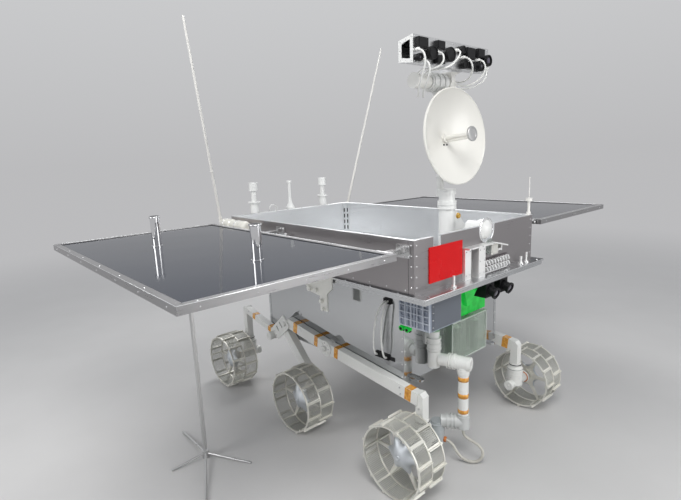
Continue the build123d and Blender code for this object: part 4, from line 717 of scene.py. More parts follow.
def turned(shape, start, axis, profile, parts=24):
    """A turned form: pairs of radius and distance along the axis, with a radius of 0 at a tip."""
    axis = Vector(axis).normalized()
    first = axis.orthogonal().normalized()
    second = axis.cross(first)
    turns = [2 * math.pi * k / parts for k in range(parts)]
    loops = []
    for radius, along in profile:
        centre = Vector(start) + axis * along
        around = turns if radius > 0 else turns[:1]
        loops.append([centre + (first * math.cos(a) + second * math.sin(a)) * radius for a in around])
    loft(shape, loops)


def band(inner, outer, width, lift=0.0006):
    """The profile of a ring round a turned part, with softened edges."""
    return ((inner, 0), (outer, lift), (outer, width - lift), (inner, width))


CAMERA_BLACK = lacquer(
    "camera_black_anodised", (0.008, 0.008, 0.009), 0.44, 0.0, 60.0, 0.4, 0.12, Specular_IOR_Level=0.25
)
LENS_GLASS, tree, shader = new_material(
    "lens_coated_glass", (0.020, 0.012, 0.040), 0.03, Coat_Weight=1.0, Coat_Roughness=0.02, Specular_IOR_Level=0.8
)
vary_shine(tree, shader, noise(tree, 120.0, 3.0), 0.02, 0.16)
HAZARD_LENS = ((0.0165, 0), (0.0165, 0.0006), (0.013, 0.0022), (0.007, 0.0034), (0, 0.0038))
dress(CAMERA_BLACK, "hazard_cameras")
grips = [
    (root + LENS_WAY * along, LENS_WAY, band(0.0202, 0.0212, 0.0036))
    for root in HAZARD_ROOTS
    for along in (0.014, 0.021, 0.028)
]
lenses = [(root + LENS_WAY * 0.0405, LENS_WAY, HAZARD_LENS) for root in HAZARD_ROOTS]
assemble("hazard_lens_rings", turned, grips, "chassis", CAMERA_BLACK, True)
assemble("hazard_lens_glass", turned, lenses, "chassis", LENS_GLASS, True)

# Green funnel, shield and clips: cast green plastic that lets light through, lit from behind in the real model, with a
# painted glow that stands for this light.
# Each of the two clips holds a black plug on a small foot.
# The emission is a painted glow for the light that shines through the plastic from behind.
GREEN_CLEAR, tree, shader = new_material(
    "green_clear_plastic",
    (0.01, 0.45, 0.06),
    0.20,
    Transmission_Weight=0.35,
    IOR=1.46,
    Emission_Color=(0.0, 0.62, 0.06, 1),
    Emission_Strength=0.28,
)
veil = ramp(tree, noise(tree, 26.0, 4.0), (0.004, 0.26, 0.03), (0.02, 0.62, 0.08), 0.3, 0.7)
feed(tree, shader.inputs["Base Color"], veil)
dress(GREEN_CLEAR, "green_funnel")


def clip(shape, x):
    turned(shape, (x, -0.3715, 0.606), (0, -1, -0.1), ((0.006, 0), (0.006, 0.003), (0.004, 0.0045), (0, 0.0048)), 14)
    bevelled_box(shape, (x - 0.010, -0.366, 0.5955), (x + 0.010, -0.354, 0.601))


assemble("clip_black_bits", clip, [(0.556,), (0.586,)], "chassis", CAMERA_BLACK, True)

# Instrument case: a clear moulded cover on the box's front with round tanks and a board behind it.
# A pale edge frames the cover, and each tank ends in a stepped cap.
CASE_CLEAR, tree, shader = new_material(
    "case_clear_plastic", (0.60, 0.72, 0.60), 0.10, Transmission_Weight=0.55, IOR=1.45, Alpha=0.42
)
vary_shine(tree, shader, noise(tree, 18.0, 5.0), 0.05, 0.24)
dress(CASE_CLEAR, "clear_case")
dress(lacquer("case_contents_grey", (0.16, 0.17, 0.16), 0.45, 0.1, 40.0, 0.3, 0.1), "case_contents")
TANK_CAP = ((0.0175, 0), (0.0175, 0.004), (0.010, 0.009), (0.006, 0.018), (0, 0.018))


def case_trim(shape):
    right, left, low, high, edge = -0.085, 0.185, 0.372, 0.556, 0.006
    for y0, z0, y1, z1 in (
        (right, low, left, low + edge),
        (right, high - edge, left, high),
        (right, low, right + edge, high),
        (left - edge, low, left, high),
    ):
        bevelled_box(shape, (0.591, y0, z0), (0.5945, y1, z1))
    for y in (-0.02, 0.12):
        turned(shape, (0.565, y, 0.5165), UP, TANK_CAP, 20)


TRIM_PALE = lacquer("case_trim_pale", (0.55, 0.60, 0.55), 0.25, 0.5)
assemble("case_trim", case_trim, [()], "chassis", TRIM_PALE, True)

# Rockers and bogies: welded square tubes in white paint, bolted flanges at their pivots, amber film tape wound
# round the tubes where the leads run under it.
BEAM_Y, TUBE_WIDTH, THICK, THIN = 0.366, 0.036, 0.052, 0.030
PIVOT_X, PIVOT_Z = 0.099, 0.397


def tube_tape(shape, a, b, share, height, length):
    """Film wound round the square tube from a to b, at a share of its run."""
    a, b = Vector(a), Vector(b)
    along = (b - a).normalized()
    up = along.cross(Vector((0, 1, 0))).normalized()
    proud, cut = 0.0007, 0.002
    half_y, half_z = TUBE_WIDTH / 2 + proud, height / 2 + proud
    corners = []
    for y, z in ((1, 1), (-1, 1), (-1, -1), (1, -1)):
        pair = [(y * half_y, z * (half_z - cut)), (y * (half_y - cut), z * half_z)]
        corners += pair if y * z > 0 else pair[::-1]
    middles = [a.lerp(b, share) + along * shift for shift in (-length / 2, length / 2)]
    loft(shape, [[middle + Vector((0, u, 0)) + up * v for u, v in corners] for middle in middles])


BEAM_WHITE = lacquer("beam_white_paint", (0.80, 0.80, 0.77), 0.30, 0.35, 7.0, 0.10, 0.05)
TAPE_AMBER, tree, shader = new_material(
    "amber_film_tape", (0.62, 0.26, 0.02), 0.22, Coat_Weight=0.8, Coat_Roughness=0.15
)
crease = noise(tree, 95.0, 4.0)
feed(tree, shader.inputs["Base Color"], ramp(tree, crease, (0.56, 0.20, 0.012), (0.86, 0.44, 0.055), 0.34, 0.68))
add_relief(tree, shader, crease, 0.35, 0.001)
dress(BEAM_WHITE, "rocker_right", "rocker_left", "bogie_right", "bogie_left")
PIVOT_CAP = ((0.0125, 0), (0.0125, 0.004), (0.008, 0.0062), (0.0045, 0.0062), (0.0045, 0.004), (0, 0.004))
BOGIE_CAP = ((0.0125, 0), (0.0125, 0.003), (0.009, 0.005), (0, 0.005))
FLANGE_CAP = (
    (0.021, 0), (0.021, 0.0012), (0.017, 0.0018), (0.017, 0.0006), (0.010, 0.0006), (0.009, 0.002), (0, 0.002),
)
tapes, bolts, caps = [], [], []
for side in SIDES:
    y, out = side * BEAM_Y, (0, side, 0)
    front = ((PIVOT_X, y, PIVOT_Z), (0.644, y, 0.338))
    rear = ((-0.210, y, 0.444), (PIVOT_X, y, PIVOT_Z))
    arm = ((-0.332, y, 0.357), (-0.644, y, 0.424))
    tapes += [(*front, 0.915, THICK, 0.032), (*front, 0.128, THICK, 0.026), (*rear, 0.756, THICK, 0.026)]
    tapes += [(*rear, 0.223, THICK, 0.032), (*arm, 0.17, THIN, 0.026), (*arm, 0.67, THIN, 0.026)]
    for a in (0, 1.57, 3.14, 4.71):
        bolts.append(((PIVOT_X + 0.027 * math.cos(a), side * 0.391, PIVOT_Z + 0.027 * math.sin(a)), out))
    for face, places in (
        (0.392, ((-0.306, 0.356), (-0.322, 0.376), (-0.206, 0.470), (-0.226, 0.482))),
        (0.384, ((0.556, 0.360), (0.560, 0.334), (-0.60, 0.420))),
        (0.378, ((0.65, 0.275), (0.65, 0.300), (-0.65, 0.275), (-0.65, 0.300))),
    ):
        bolts += [((x, side * face, z), out) for x, z in places]
    caps.append(((PIVOT_X, side * 0.398, PIVOT_Z), out, PIVOT_CAP, 20))
    caps.append(((-0.225, side * 0.398, 0.438), out, BOGIE_CAP, 20))
    caps.append(((-0.345, side * 0.4140, 0.346), out, FLANGE_CAP, 24))
assemble("beam_tapes", tube_tape, tapes, "chassis", TAPE_AMBER)
fasteners("beam_bolts", "chassis", "fixture_metal", bolts, 0.0042, 0.003, *HEXAGON)
assemble("pivot_caps", turned, caps, "chassis", BEAM_WHITE, True)

# Steering housings: white turned housings with raised rings, a dark seal at the pin and six hexagon screws.
# The motor across each has a domed white end and a white flange with a copper-coloured winding face inside it.
AXLE_Z, HOUSING_Y, FRONT_X, MIDDLE_X, REAR_X = 0.150, 0.360, 0.650, 0.015, -0.650
STEERS = {
    "front_right": (FRONT_X, RIGHT),
    "front_left": (FRONT_X, LEFT),
    "rear_right": (REAR_X, RIGHT),
    "rear_left": (REAR_X, LEFT),
}
HOUSING_WHITE = lacquer("housing_white", (0.78, 0.78, 0.75), 0.28, 0.5, 12.0, 0.08, 0.04)
MOTOR_ORANGE = lacquer("motor_ring_orange", (0.56, 0.17, 0.03), 0.42, 0.2, 60.0, 0.3, 0.1)
MOTOR_DOME = (
    (0.0235, -0.0005), (0.0235, 0.002), (0.019, 0.0034), (0.013, 0.0034), (0.012, 0.0018), (0.006, 0.0018),
    (0.005, 0.004), (0, 0.004),
)
MOTOR_FLANGE = (
    (0.0236, 0), (0.0300, 0), (0.0316, 0.0012), (0.0316, 0.0056), (0.0300, 0.0068), (0.0236, 0.0068),
)
WINDING = ((0.0236, 0), (0.0262, 0.0002), (0.0284, 0.0012), (0.0284, 0.0031), (0.0236, 0.0031))
for name, (x, side) in STEERS.items():
    body, out = "housing_" + name, (0, side, 0)
    dress(HOUSING_WHITE, "steer_" + body)
    motor = (
        ((x, side * 0.300, AXLE_Z), (0, -side, 0), MOTOR_DOME, 28),
        ((x, side * 0.3085, AXLE_Z), out, band(0.0210, 0.0218, 0.010, 0.001), 28),
        ((x, side * 0.4384, AXLE_Z), out, MOTOR_FLANGE, 36),
    )
    winding = [((x, side * 0.4355, AXLE_Z), out, WINDING, 36)]
    seals = (
        ((x, side * HOUSING_Y, 0.2425), UP, band(0.0275, 0.0288, 0.0052), 32),
        ((x, side * HOUSING_Y, 0.2235), UP, band(0.0364, 0.0374, 0.0020, 0.0002), 32),
    )
    rings = [((x, side * HOUSING_Y, z), UP, band(0.0365, 0.0382, 0.005, 0.0008), 32) for z in (0.168, 0.196, 0.2135)]
    pins = []
    for n in range(6):
        a = math.radians(30 + 60 * n)
        way = Vector((math.cos(a), math.sin(a), 0))
        pins.append((Vector((x, side * HOUSING_Y, 0.184)) + way * 0.0366, way))
    assemble("motor_end_" + name, turned, motor, body, HOUSING_WHITE, True)
    assemble("motor_ring_" + name, turned, winding, body, MOTOR_ORANGE, True)
    assemble("housing_seals_" + name, turned, seals, body, DARK_GAP, True)
    fasteners("housing_pins_" + name, body, "fixture_metal", pins, 0.0034, 0.0022, *HEXAGON)
    assemble("housing_rings_" + name, turned, rings, body, HOUSING_WHITE, True)

# Middle axles: grey motor shells with a stepped end and three cooling rings, carried by the bogies' forward arms.
# They are turned from plain metal.
MOTOR_GREY = bright_sheet("motor_grey_metal", (0.55, 0.56, 0.57), 0.30, 0.46, (40, 200, 40), 0.05, 0.1)
MIDDLE_END = ((0.0205, -0.0005), (0.0205, 0.002), (0.016, 0.0032), (0.011, 0.0032), (0.010, 0.0018), (0, 0.0018))
shells = [((MIDDLE_X, side * 0.318, AXLE_Z), (0, -side, 0), MIDDLE_END, 28) for side in SIDES]
shells += [
    ((MIDDLE_X, side * y, AXLE_Z), (0, side, 0), band(0.0235, 0.0252, 0.005, 0.0008), 28)
    for side in SIDES
    for y in (0.392, 0.404, 0.416)
]
assemble("middle_motor_ends", turned, shells, "chassis", MOTOR_GREY, True)

# Wheels: grey bead-blasted hoops, square bars and cleats, with a perforated skin inside the cleats and a satin
# hub cast as a six-armed star that runs out into the spokes.
WHEELS = {**STEERS, "middle_right": (MIDDLE_X, RIGHT), "middle_left": (MIDDLE_X, LEFT)}
WHEEL_Y, WHEEL_HALF, SKIN_RADIUS = 0.476, 0.075, 0.1388
WHEEL_METAL = bright_sheet("wheel_blasted_metal", (0.80, 0.79, 0.74), 0.50, 0.66, (70, 70, 70), 0.05, 0.25)
SKIN_METAL = bright_sheet("wheel_skin_metal", (0.50, 0.50, 0.465), 0.46, 0.62, (90, 90, 90), 0.05, 0.20)
HUB_SATIN = bright_sheet("wheel_hub_satin", (0.64, 0.67, 0.70), 0.50, 0.62, (30, 30, 30), 0.03, 0.08)

# A grid of six-sided meshes, rolled into a cylinder about the Y axis through Centre
LATTICE, given = new_group(
    "wheel_skin_lattice",
    Geometry="Geometry", Centre="Vector", Skin_Radius="Float", Skin_Width="Float", Cells_Around="Int",
    Cells_Across="Int", Wire_Radius="Float", Finish="Material",
)
grid = node(
    LATTICE,
    "GeometryNodeMeshGrid",
    Size_X=given["Skin Width"],
    Size_Y=2 * math.pi,
    Vertices_X=given["Cells Across"],
    Vertices_Y=given["Cells Around"],
)
thirds = node(LATTICE, "GeometryNodeTriangulate", Mesh=grid.outputs["Mesh"])
dual = node(LATTICE, "GeometryNodeDualMesh", Mesh=thirds.outputs["Mesh"], Keep_Boundaries=True)
where = node(LATTICE, "GeometryNodeInputPosition").outputs["Position"]
flat = node(LATTICE, "ShaderNodeSeparateXYZ", where).outputs
rolled_x, rolled_z = [
    maths(LATTICE, "MULTIPLY", maths(LATTICE, wave, flat["Y"]), given["Skin Radius"]) for wave in ("COSINE", "SINE")
]
rolled = node(LATTICE, "ShaderNodeCombineXYZ", rolled_x, flat["X"], rolled_z).outputs["Vector"]
moved = node(LATTICE, "ShaderNodeVectorMath", rolled, given["Centre"], operation="ADD").outputs["Vector"]
skin = node(LATTICE, "GeometryNodeSetPosition", Geometry=dual.outputs["Dual Mesh"], Position=moved)
wires = node(LATTICE, "GeometryNodeMeshToCurve", Mesh=skin.outputs["Geometry"])
section = node(LATTICE, "GeometryNodeCurvePrimitiveCircle", Resolution=3, Radius=given["Wire Radius"])
solid = node(LATTICE, "GeometryNodeCurveToMesh", Curve=wires.outputs["Curve"], Profile_Curve=section.outputs["Curve"])
close_group(LATTICE, solid.outputs["Mesh"], given["Finish"])


def spoke(shape, centre, turn):
    """A flat tapered spoke."""
    out, cross = Vector((math.cos(turn), 0, math.sin(turn))), Vector((-math.sin(turn), 0, math.cos(turn)))
    outline = ((0.044, -0.0153), (0.058, -0.009), (0.138, -0.005), (0.138, 0.005), (0.058, 0.009), (0.044, 0.0153))
    sheets = [centre + Vector((0, lift, 0)) for lift in (-0.0035, 0.0035)]
    loft(shape, [[middle + out * reach + cross * width for reach, width in outline] for middle in sheets])


def hub_star(shape, centre, side):
    """A dome whose foot flares into the six spokes."""
    rings, turns = 14, [2 * math.pi * k / 96 for k in range(96)]
    loops = [[centre + Vector((0, side * 0.0312, 0))]]
    for ring in range(1, rings + 1):
        share = ring / rings
        flare = 0.020 * max(0.0, (share - 0.55) / 0.45) ** 2
        crest = side * (0.0036 + 0.0275 * (1 - share**2.4) ** 0.8)
        reaches = [0.052 * share + flare * abs(math.cos(3 * a)) ** 3 for a in turns]
        loops.append([centre + Vector((r * math.cos(a), crest, r * math.sin(a))) for r, a in zip(reaches, turns)])
    loops.append([point - Vector((0, side * 0.0040, 0)) for point in loops[-1]])
    loft(shape, loops)


HUB_CAP = ((0.011, -0.002), (0.011, 0.0008), (0.0095, 0.0022), (0.0045, 0.0026), (0.004, 0.0012), (0, 0.0012))
for name, (x, side) in WHEELS.items():
    body, out = "wheel_" + name, (0, side, 0)
    centre = Vector((x, side * WHEEL_Y, AXLE_Z))
    dress(WHEEL_METAL, body)
    skin = add_mesh("wheel_skin_" + name, lambda shape: None)
    grow(
        skin,
        LATTICE,
        Centre=centre,
        Skin_Radius=SKIN_RADIUS,
        Skin_Width=2 * WHEEL_HALF - 0.010,
        Cells_Around=132,
        Cells_Across=22,
        Wire_Radius=0.00135,
        Finish=SKIN_METAL,
    )
    finish_piece(skin, body)
    # The cleats' folded feet and the small clamps at their outer ends, half a pitch apart between the two halves
    feet = []
    for half, shift in ((-side, 0), (side, 15)):
        inner, outer = half * 0.001, half * (WHEEL_HALF - 0.001)
        clamp, tip = half * (WHEEL_HALF - 0.009), half * (WHEEL_HALF + 0.0006)
        for n in range(12):
            place = Matrix.Translation(centre) @ Matrix.Rotation(-math.radians(n * 30 + shift), 4, "Y")
            feet.append(((0.1395, inner, 0.001), (0.1425, outer, 0.010), 0.0004, place))
            feet.append(((0.1400, clamp, -0.0045), (0.1476, tip, 0.0055), 0.0012, place))
    assemble("cleat_feet_" + name, bevelled_box, feet, body, WHEEL_METAL)
    # Five spokes; the sixth, along +X, is in the CAD solid
    spokes = [(centre, math.radians(60 * n)) for n in range(1, 6)]
    assemble("wheel_spokes_" + name, spoke, spokes, body, WHEEL_METAL)
    assemble("hub_star_" + name, hub_star, [(centre, side)], body, HUB_SATIN, True)
    cap = [((x, side * (WHEEL_Y + 0.0312), AXLE_Z), out, HUB_CAP)]
    assemble("hub_cap_" + name, turned, cap, body, HUB_SATIN, True)
    bolts = []
    for a in [math.radians(60 * n) for n in range(6)]:
        bolts.append((centre + Vector((0.074 * math.cos(a), side * 0.0034, 0.074 * math.sin(a))), out))
    fasteners("hub_bolts_" + name, body, "wheel_metal", bolts, 0.0034, 0.0024, *HEXAGON)

# Solar wings: dark glass-smooth cell panels in a riveted aluminium angle frame, with mitred corner plates and a
# thin dark seal round the panel. The frame's top edge carries a bright bead, a painted highlight.
WING_TOP, WING_IN, WING_OUT, WING_FRONT, WING_REAR, WING_EDGE = 0.942, 0.518, 1.292, 0.672, -0.660, 0.929
PANEL_DARK, tree, shader = new_material("wing_panel_dark_mirror", (0.014, 0.020, 0.036), 0.04, Specular_IOR_Level=0.27)
add_relief(tree, shader, noise(tree, 2.2, 1.5), 0.10, 0.02)
vary_shine(tree, shader, noise(tree, 38.0, 6.0), 0.03, 0.13, 0.35, 0.75)
FRAME_ALU = bright_sheet("wing_frame_aluminium", (0.40, 0.395, 0.40), 0.24, 0.36, (12, 12, 200), 0.03, 0.04)
for name, side in (("right", RIGHT), ("left", LEFT)):
    body = "wing_" + name
    dress(PANEL_DARK, "wing_panel_" + name)
    dress(FRAME_ALU, "wing_frame_" + name)
    rivets, plates = [], []
    near, far, out = side * (WING_IN + 0.06), side * (WING_OUT - 0.06), side * WING_OUT
    for y in (WING_IN + 0.012, WING_OUT - 0.012):
        rivets += row((WING_REAR + 0.03, side * y, WING_TOP), (WING_FRONT - 0.03, side * y, WING_TOP), 7, UP)
    rivets += row((WING_REAR + 0.06, out, WING_EDGE), (WING_FRONT - 0.06, out, WING_EDGE), 7, (0, side, 0))
    for x, way in ((WING_REAR, -1), (WING_FRONT, 1)):
        rivets += row((x - way * 0.012, near, WING_TOP), (x - way * 0.012, far, WING_TOP), 5, UP)
        rivets += row((x, near, WING_EDGE), (x, far, WING_EDGE), 5, (way, 0, 0))
        for y, inward in ((WING_IN, 1), (WING_OUT, -1)):
            for reach, start, end in ((0.034, 0.002, 0.020), (0.020, 0.018, 0.034)):
                one = (x - way * 0.002, side * (y + inward * start), WING_TOP - 0.0002)
                other = (x - way * reach, side * (y + inward * end), WING_TOP + 0.0011)
                plates.append((one, other, 0.0004))
    fasteners("wing_rivets_" + name, body, "wing_frame", rivets, 0.0024, 0.0012)
    assemble("wing_corner_plates_" + name, bevelled_box, plates, body, FRAME_ALU)
    inner_y, outer_y, line_z = side * (WING_IN + 0.001), side * (WING_OUT - 0.001), WING_TOP - 0.0006
    corners = [(x, y, line_z) for x, y in (
        (WING_REAR + 0.001, inner_y), (WING_FRONT - 0.001, inner_y), (WING_FRONT - 0.001, outer_y),
        (WING_REAR + 0.001, outer_y),
    )]
    # A bright bead round the frame's top edge: a painted highlight.
    edge_highlight = bead("wing_edge_line_" + name, [corners], 0.0014, True)
    finish_piece(edge_highlight, body, STRIP_SHEET, True)
    low_x, high_x, low_y, high_y = WING_REAR + 0.024, WING_FRONT - 0.024, WING_IN + 0.024, WING_OUT - 0.024
    seal = [((x0, side * y0, 0.9385), (x1, side * y1, 0.9402), 0.0003) for x0, x1, y0, y1 in (
        (low_x, high_x, low_y, low_y + 0.003),
        (low_x, high_x, high_y - 0.003, high_y),
        (low_x, low_x + 0.003, low_y, high_y),
        (high_x - 0.003, high_x, low_y, high_y),
    )]
    assemble("wing_seal_" + name, bevelled_box, seal, body, POCKET_BLACK)

# Hinges: machined steel brackets, pins with domed ends, and a catch lever at each side of the tray.
# They are screwed to the tray's sides.
HINGES_X, HINGE_Y, HINGE_Z = (0.607, -0.168), 0.505, 0.930
HINGE_STEEL = bright_sheet("hinge_steel", (0.66, 0.66, 0.66), 0.20, 0.36, (60, 60, 60), 0.03, 0.06)
dress(HINGE_STEEL, "hinge_brackets")
DOMED_END = ((0.0075, -0.001), (0.0075, 0.0015), (0.005, 0.0032), (0, 0.0036))
ends, screws = [], []
for side in SIDES:
    for x in HINGES_X:
        ends += [((x + way * 0.0415, side * HINGE_Y, HINGE_Z), (way, 0, 0), DOMED_END, 16) for way in (1, -1)]
        for z in (0.914, 0.950):
            screws += [((x + shift, side * 0.433, z), (0, side, 0)) for shift in (0.022, 0.044)]
assemble("hinge_caps", turned, ends, "chassis", HINGE_STEEL, True)
fasteners("hinge_screws", "chassis", "fixture_metal", screws, 0.0032, 0.0022, *HEXAGON)

# Wing drives: cream-white moulded capsules with a waist, one at each rear corner of the tray, each held by two
# steel straps and closed by a stepped steel cap.
DRIVE_Y, DRIVE_Z = 0.460, 0.936
dress(lacquer("drive_cream", (0.78, 0.76, 0.69), 0.26, 0.6, 10.0, 0.08, 0.03), "wing_drives")
DRIVE_CAP = ((0.0148, 0), (0.0148, 0.0012), (0.011, 0.0022), (0.0055, 0.0022), (0.005, 0.0010), (0, 0.0010))
straps = []
for side in SIDES:
    for x, radius in ((-0.622, 0.0322), (-0.500, 0.0302)):
        ring = band(radius - 0.0008, radius + 0.0009, 0.008, 0.0004)
        straps.append(((x, side * DRIVE_Y, DRIVE_Z), (1, 0, 0), ring, 40))
    straps.append(((-0.6528, side * DRIVE_Y, DRIVE_Z), (-1, 0, 0), DRIVE_CAP, 24))
assemble("drive_straps", turned, straps, "chassis", HINGE_STEEL, True)

# Wing tubes: two polished open tubes that stand on the right wing, each with a rolled rim at its top.
# Their bore shows as a dark mouth: a dark disc across each tube's top, painted shade for the bore.
dress(CHROME, "wing_tubes")
MOUTH = ((0.0175, 0), (0.0175, 0.0006), (0, 0.0006))
ROLLED_RIM = ((0.0218, -0.0018), (0.0226, -0.0012), (0.0230, 0), (0.0226, 0.0012), (0.0218, 0.0018))
mouths, rims = [], []
for place in ((-0.222, -0.996), (0.362, -0.876)):
    mouths.append(((*place, 1.0657), UP, MOUTH, 28))
    rims.append(((*place, 1.0615), UP, ROLLED_RIM, 36))
# Dark discs of painted shade across the tubes' tops.
assemble("wing_tube_mouths", turned, mouths, "wing_right", DARK_GAP)
assemble("wing_tube_rolls", turned, rims, "wing_right", CHROME, True)

# Rear antennas: white turned posts with flanges and flared tops, a bell-shaped one, and a small wire ring.
# The posts are bolted to the ledge by their foot flanges.
POST_X, POSTS_Y = -0.655, (-0.259, 0.253)
MAST_WHITE = lacquer("mast_white_paint", (0.82, 0.82, 0.80), 0.30, 0.35, 6.0, 0.07, 0.04)
dress(MAST_WHITE, "rear_antennas")
POST_TOP = ((0.0225, -0.0004), (0.0225, 0.0006), (0.019, 0.0010), (0.017, 0.0002), (0, 0.0002))
rings, bolts = [], []
for y in POSTS_Y:
    rings += [((POST_X, y, z), UP, band(0.0239, 0.0253, 0.0038), 32) for z in (0.786, 0.905, 1.024)]
    rings += [((POST_X, y, z), UP, band(0.0148, 0.0162, 0.0034), 28) for z in (1.062, 1.074, 1.086)]
    rings.append(((POST_X, y, 1.1485), UP, POST_TOP, 32))
    for a in [math.radians(30 + 60 * n) for n in range(6)]:
        bolts.append(((POST_X + 0.022 * math.cos(a), y + 0.022 * math.sin(a), 0.783), UP))
assemble("antenna_post_rings", turned, rings, "chassis", MAST_WHITE, True)
fasteners("antenna_post_bolts", "chassis", "fixture_metal", bolts, 0.0026, 0.0022, *HEXAGON)

# Rod antennas: white enamelled rods in turned sockets, leaning outwards and forwards, in tapered sleeves that are
# thick at the socket and slim at the tip. The short whip at the front has the same finish.
ROD_WHITE = lacquer("rod_white_enamel", (0.84, 0.82, 0.78), 0.30, 0.4, 20.0, 0.08, 0.03)
dress(ROD_WHITE, "rod_antennas", "whip_antenna")
sleeves, fittings = [], []
for side in SIDES:
    base, tip = Vector((-0.668, side * 0.470, 0.930)), Vector((-0.494, side * 0.662, 1.945))
    reach = (tip - base).length
    way = (tip - base).normalized()
    taper = (
        (0.0072, 0.044), (0.0081, 0.048), (0.0070, reach * 0.5), (0.0056, reach - 0.006), (0.0050, reach - 0.001),
        (0, reach - 0.0005),
    )
    sleeves.append((base, way, taper, 20))
    for along, radius, length in (
        (0.002, 0.0106, 0.004), (0.020, 0.0106, 0.004), (0.038, 0.0106, 0.006), (0.30, 0.0086, 0.008),
        (0.62, 0.0078, 0.008),
    ):
        fittings.append((base + way * along, way, band(radius - 0.001, radius, length), 16))
assemble("rod_sleeves", turned, sleeves, "chassis", ROD_WHITE, True)
assemble("rod_fittings", turned, fittings, "chassis", ROD_WHITE, True)

# Mast base: a white column on a bolted foot flange, with a welded gusset and toe to the left.
# An ochre cable connector is screwed into the gusset.
BASE_X = 0.502
dress(MAST_WHITE, "mast_base")
bolts = []
for a in [math.radians(22.5 + 45 * n) for n in range(8)]:
    bolts.append(((BASE_X + 0.052 * math.cos(a), 0.052 * math.sin(a), 0.781), UP))
bolts += [((BASE_X + shift, y, 0.944), UP) for shift in (-0.012, 0.012) for y in (0.122, 0.138)]
fasteners("mast_foot_bolts", "chassis", "fixture_metal", bolts, 0.0052, 0.0042, *HEXAGON)
welds = [
    ((BASE_X, 0, z), UP, ((radius, 0), (radius + 0.0018, 0.0010), (radius + 0.0012, 0.0030), (radius, 0.0036)), 40)
    for z, radius in ((0.7815, 0.0350), (1.0365, 0.0398))
]
assemble("mast_base_welds", turned, welds, "chassis", MAST_WHITE, True)
CONNECTOR = (
    (0.0115, 0), (0.0115, 0.018), (0.0132, 0.0188), (0.0132, 0.0232), (0.0105, 0.0242), (0.0105, 0.0300),
    (0.0085, 0.0312), (0.0080, 0.0295), (0, 0.0295),
)
CONNECTOR_OCHRE = lacquer("connector_ochre", (0.60, 0.34, 0.03), 0.36, 0.3, 60.0, 0.25, 0.05)
connector = [((0.500, 0.052, 1.002), (1, 0, 0), CONNECTOR)]
assemble("mast_connector", turned, connector, "chassis", CONNECTOR_OCHRE, True)

# Mast: a turning collar, a slim post, and the ribbed barrel that holds the head's pivot tube.
# It is painted white like its base.
MAST_X = 0.465
dress(MAST_WHITE, "mast_column")
collars = []
for z, radius in ((1.056, 0.0400), (1.064, 0.0400), (1.104, 0.0380), (1.114, 0.0380)):
    collars.append(((BASE_X, 0, z), UP, band(radius - 0.0006, radius + 0.0010, 0.0034), 40))
collars += [((MAST_X, 0, z), UP, band(0.0158, 0.0176, 0.008, 0.0008), 28) for z in (1.17, 1.44)]
assemble("mast_collar_rings", turned, collars, "mast", MAST_WHITE, True)

# Dish: a spun white shell with a rolled rim, stiffening rings behind, a feed rod and a grey sub-reflector.
# Two dark bolts stand in the shell, a little below the feed's root.
DISH_AXIS = Vector((0.9948, -0.0521, 0.0872)).normalized()
DISH_VERTEX = Vector((MAST_X, 0, 1.331)) + DISH_AXIS * 0.020
DISH_DOWN = DISH_AXIS.cross(Vector((-0.0523, -0.9986, 0)))
DISH_WHITE = lacquer("dish_white_paint", (0.80, 0.785, 0.735), 0.34, 0.25, 3.0, 0.08, 0.06)
dress(DISH_WHITE, "dish")
SUB_REFLECTOR = (
    (0.0285, 0.1394), (0.0297, 0.1400), (0.0297, 0.1472), (0.0288, 0.1484), (0.0200, 0.1490), (0.0195, 0.1482),
    (0, 0.1482),
)
SUB_GREY = bright_sheet("sub_reflector_grey", (0.52, 0.52, 0.52), 0.30, 0.44, (40, 40, 40), 0.02, 0.04)
skin = [(DISH_VERTEX, DISH_AXIS, SUB_REFLECTOR, 40)]
assemble("dish_sub_reflector", turned, skin, "mast", SUB_GREY)
rings = [
    (DISH_VERTEX + DISH_AXIS * along, DISH_AXIS, band(radius - 0.0012, radius, 0.004), 28)
    for along, radius in ((0.0125, 0.0186), (0.030, 0.0096), (0.060, 0.0096), (0.120, 0.0096))
]
for along in (-0.0085, -0.0035):
    rings.append((DISH_VERTEX + DISH_AXIS * along, DISH_AXIS, band(0.0232, 0.0252, 0.0032), 36))
assemble("dish_feed_rings", turned, rings, "mast", DISH_WHITE, True)
low_seat = DISH_VERTEX + DISH_AXIS * 0.0055 + DISH_DOWN * 0.026
bolts = [(low_seat + Vector((0, y, 0)), DISH_AXIS) for y in (-0.010, 0.010)]
fasteners("dish_bolts", "mast", "camera_black", bolts, 0.0040, 0.0036, *HEXAGON, DARK_GAP)

# Camera head: a folded sheet box with bordered openings in its ends, on a white pivot tube with caps and a clamp.
# Black cameras and lens barrels stand out of its front, and each lead leaves them by a ribbed white plug.
HEAD_FRONT, HEAD_ENDS = 0.547, ((-0.272, -1), (0.228, 1))
HEAD_SHEET = bright_sheet("head_brushed_sheet", (0.74, 0.745, 0.75), 0.22, 0.38, (6, 6, 260), 0.06, 0.06)
second_tone(HEAD_SHEET, {"Z": (0, 1.6035)}, (0.86, 0.85, 0.81), 0.0, 0.34)
dress(HEAD_SHEET, "camera_head")
dress(CAMERA_BLACK, "camera_lenses")


def end_border(shape, y, way):
    """Pale edging round the opening in an end."""
    outer = ((0.477, 1.614), (0.547, 1.604), (0.547, 1.704), (0.477, 1.690))
    inner = ((0.4905, 1.6265), (0.5335, 1.6205), (0.5335, 1.6870), (0.4905, 1.6785))
    section = ((outer, -0.0004), (outer, 0.0006), (inner, 0.0006), (inner, -0.0004))
    loft(shape, [[(x, y + way * lift, z) for x, z in line] for line, lift in section], closed=True)


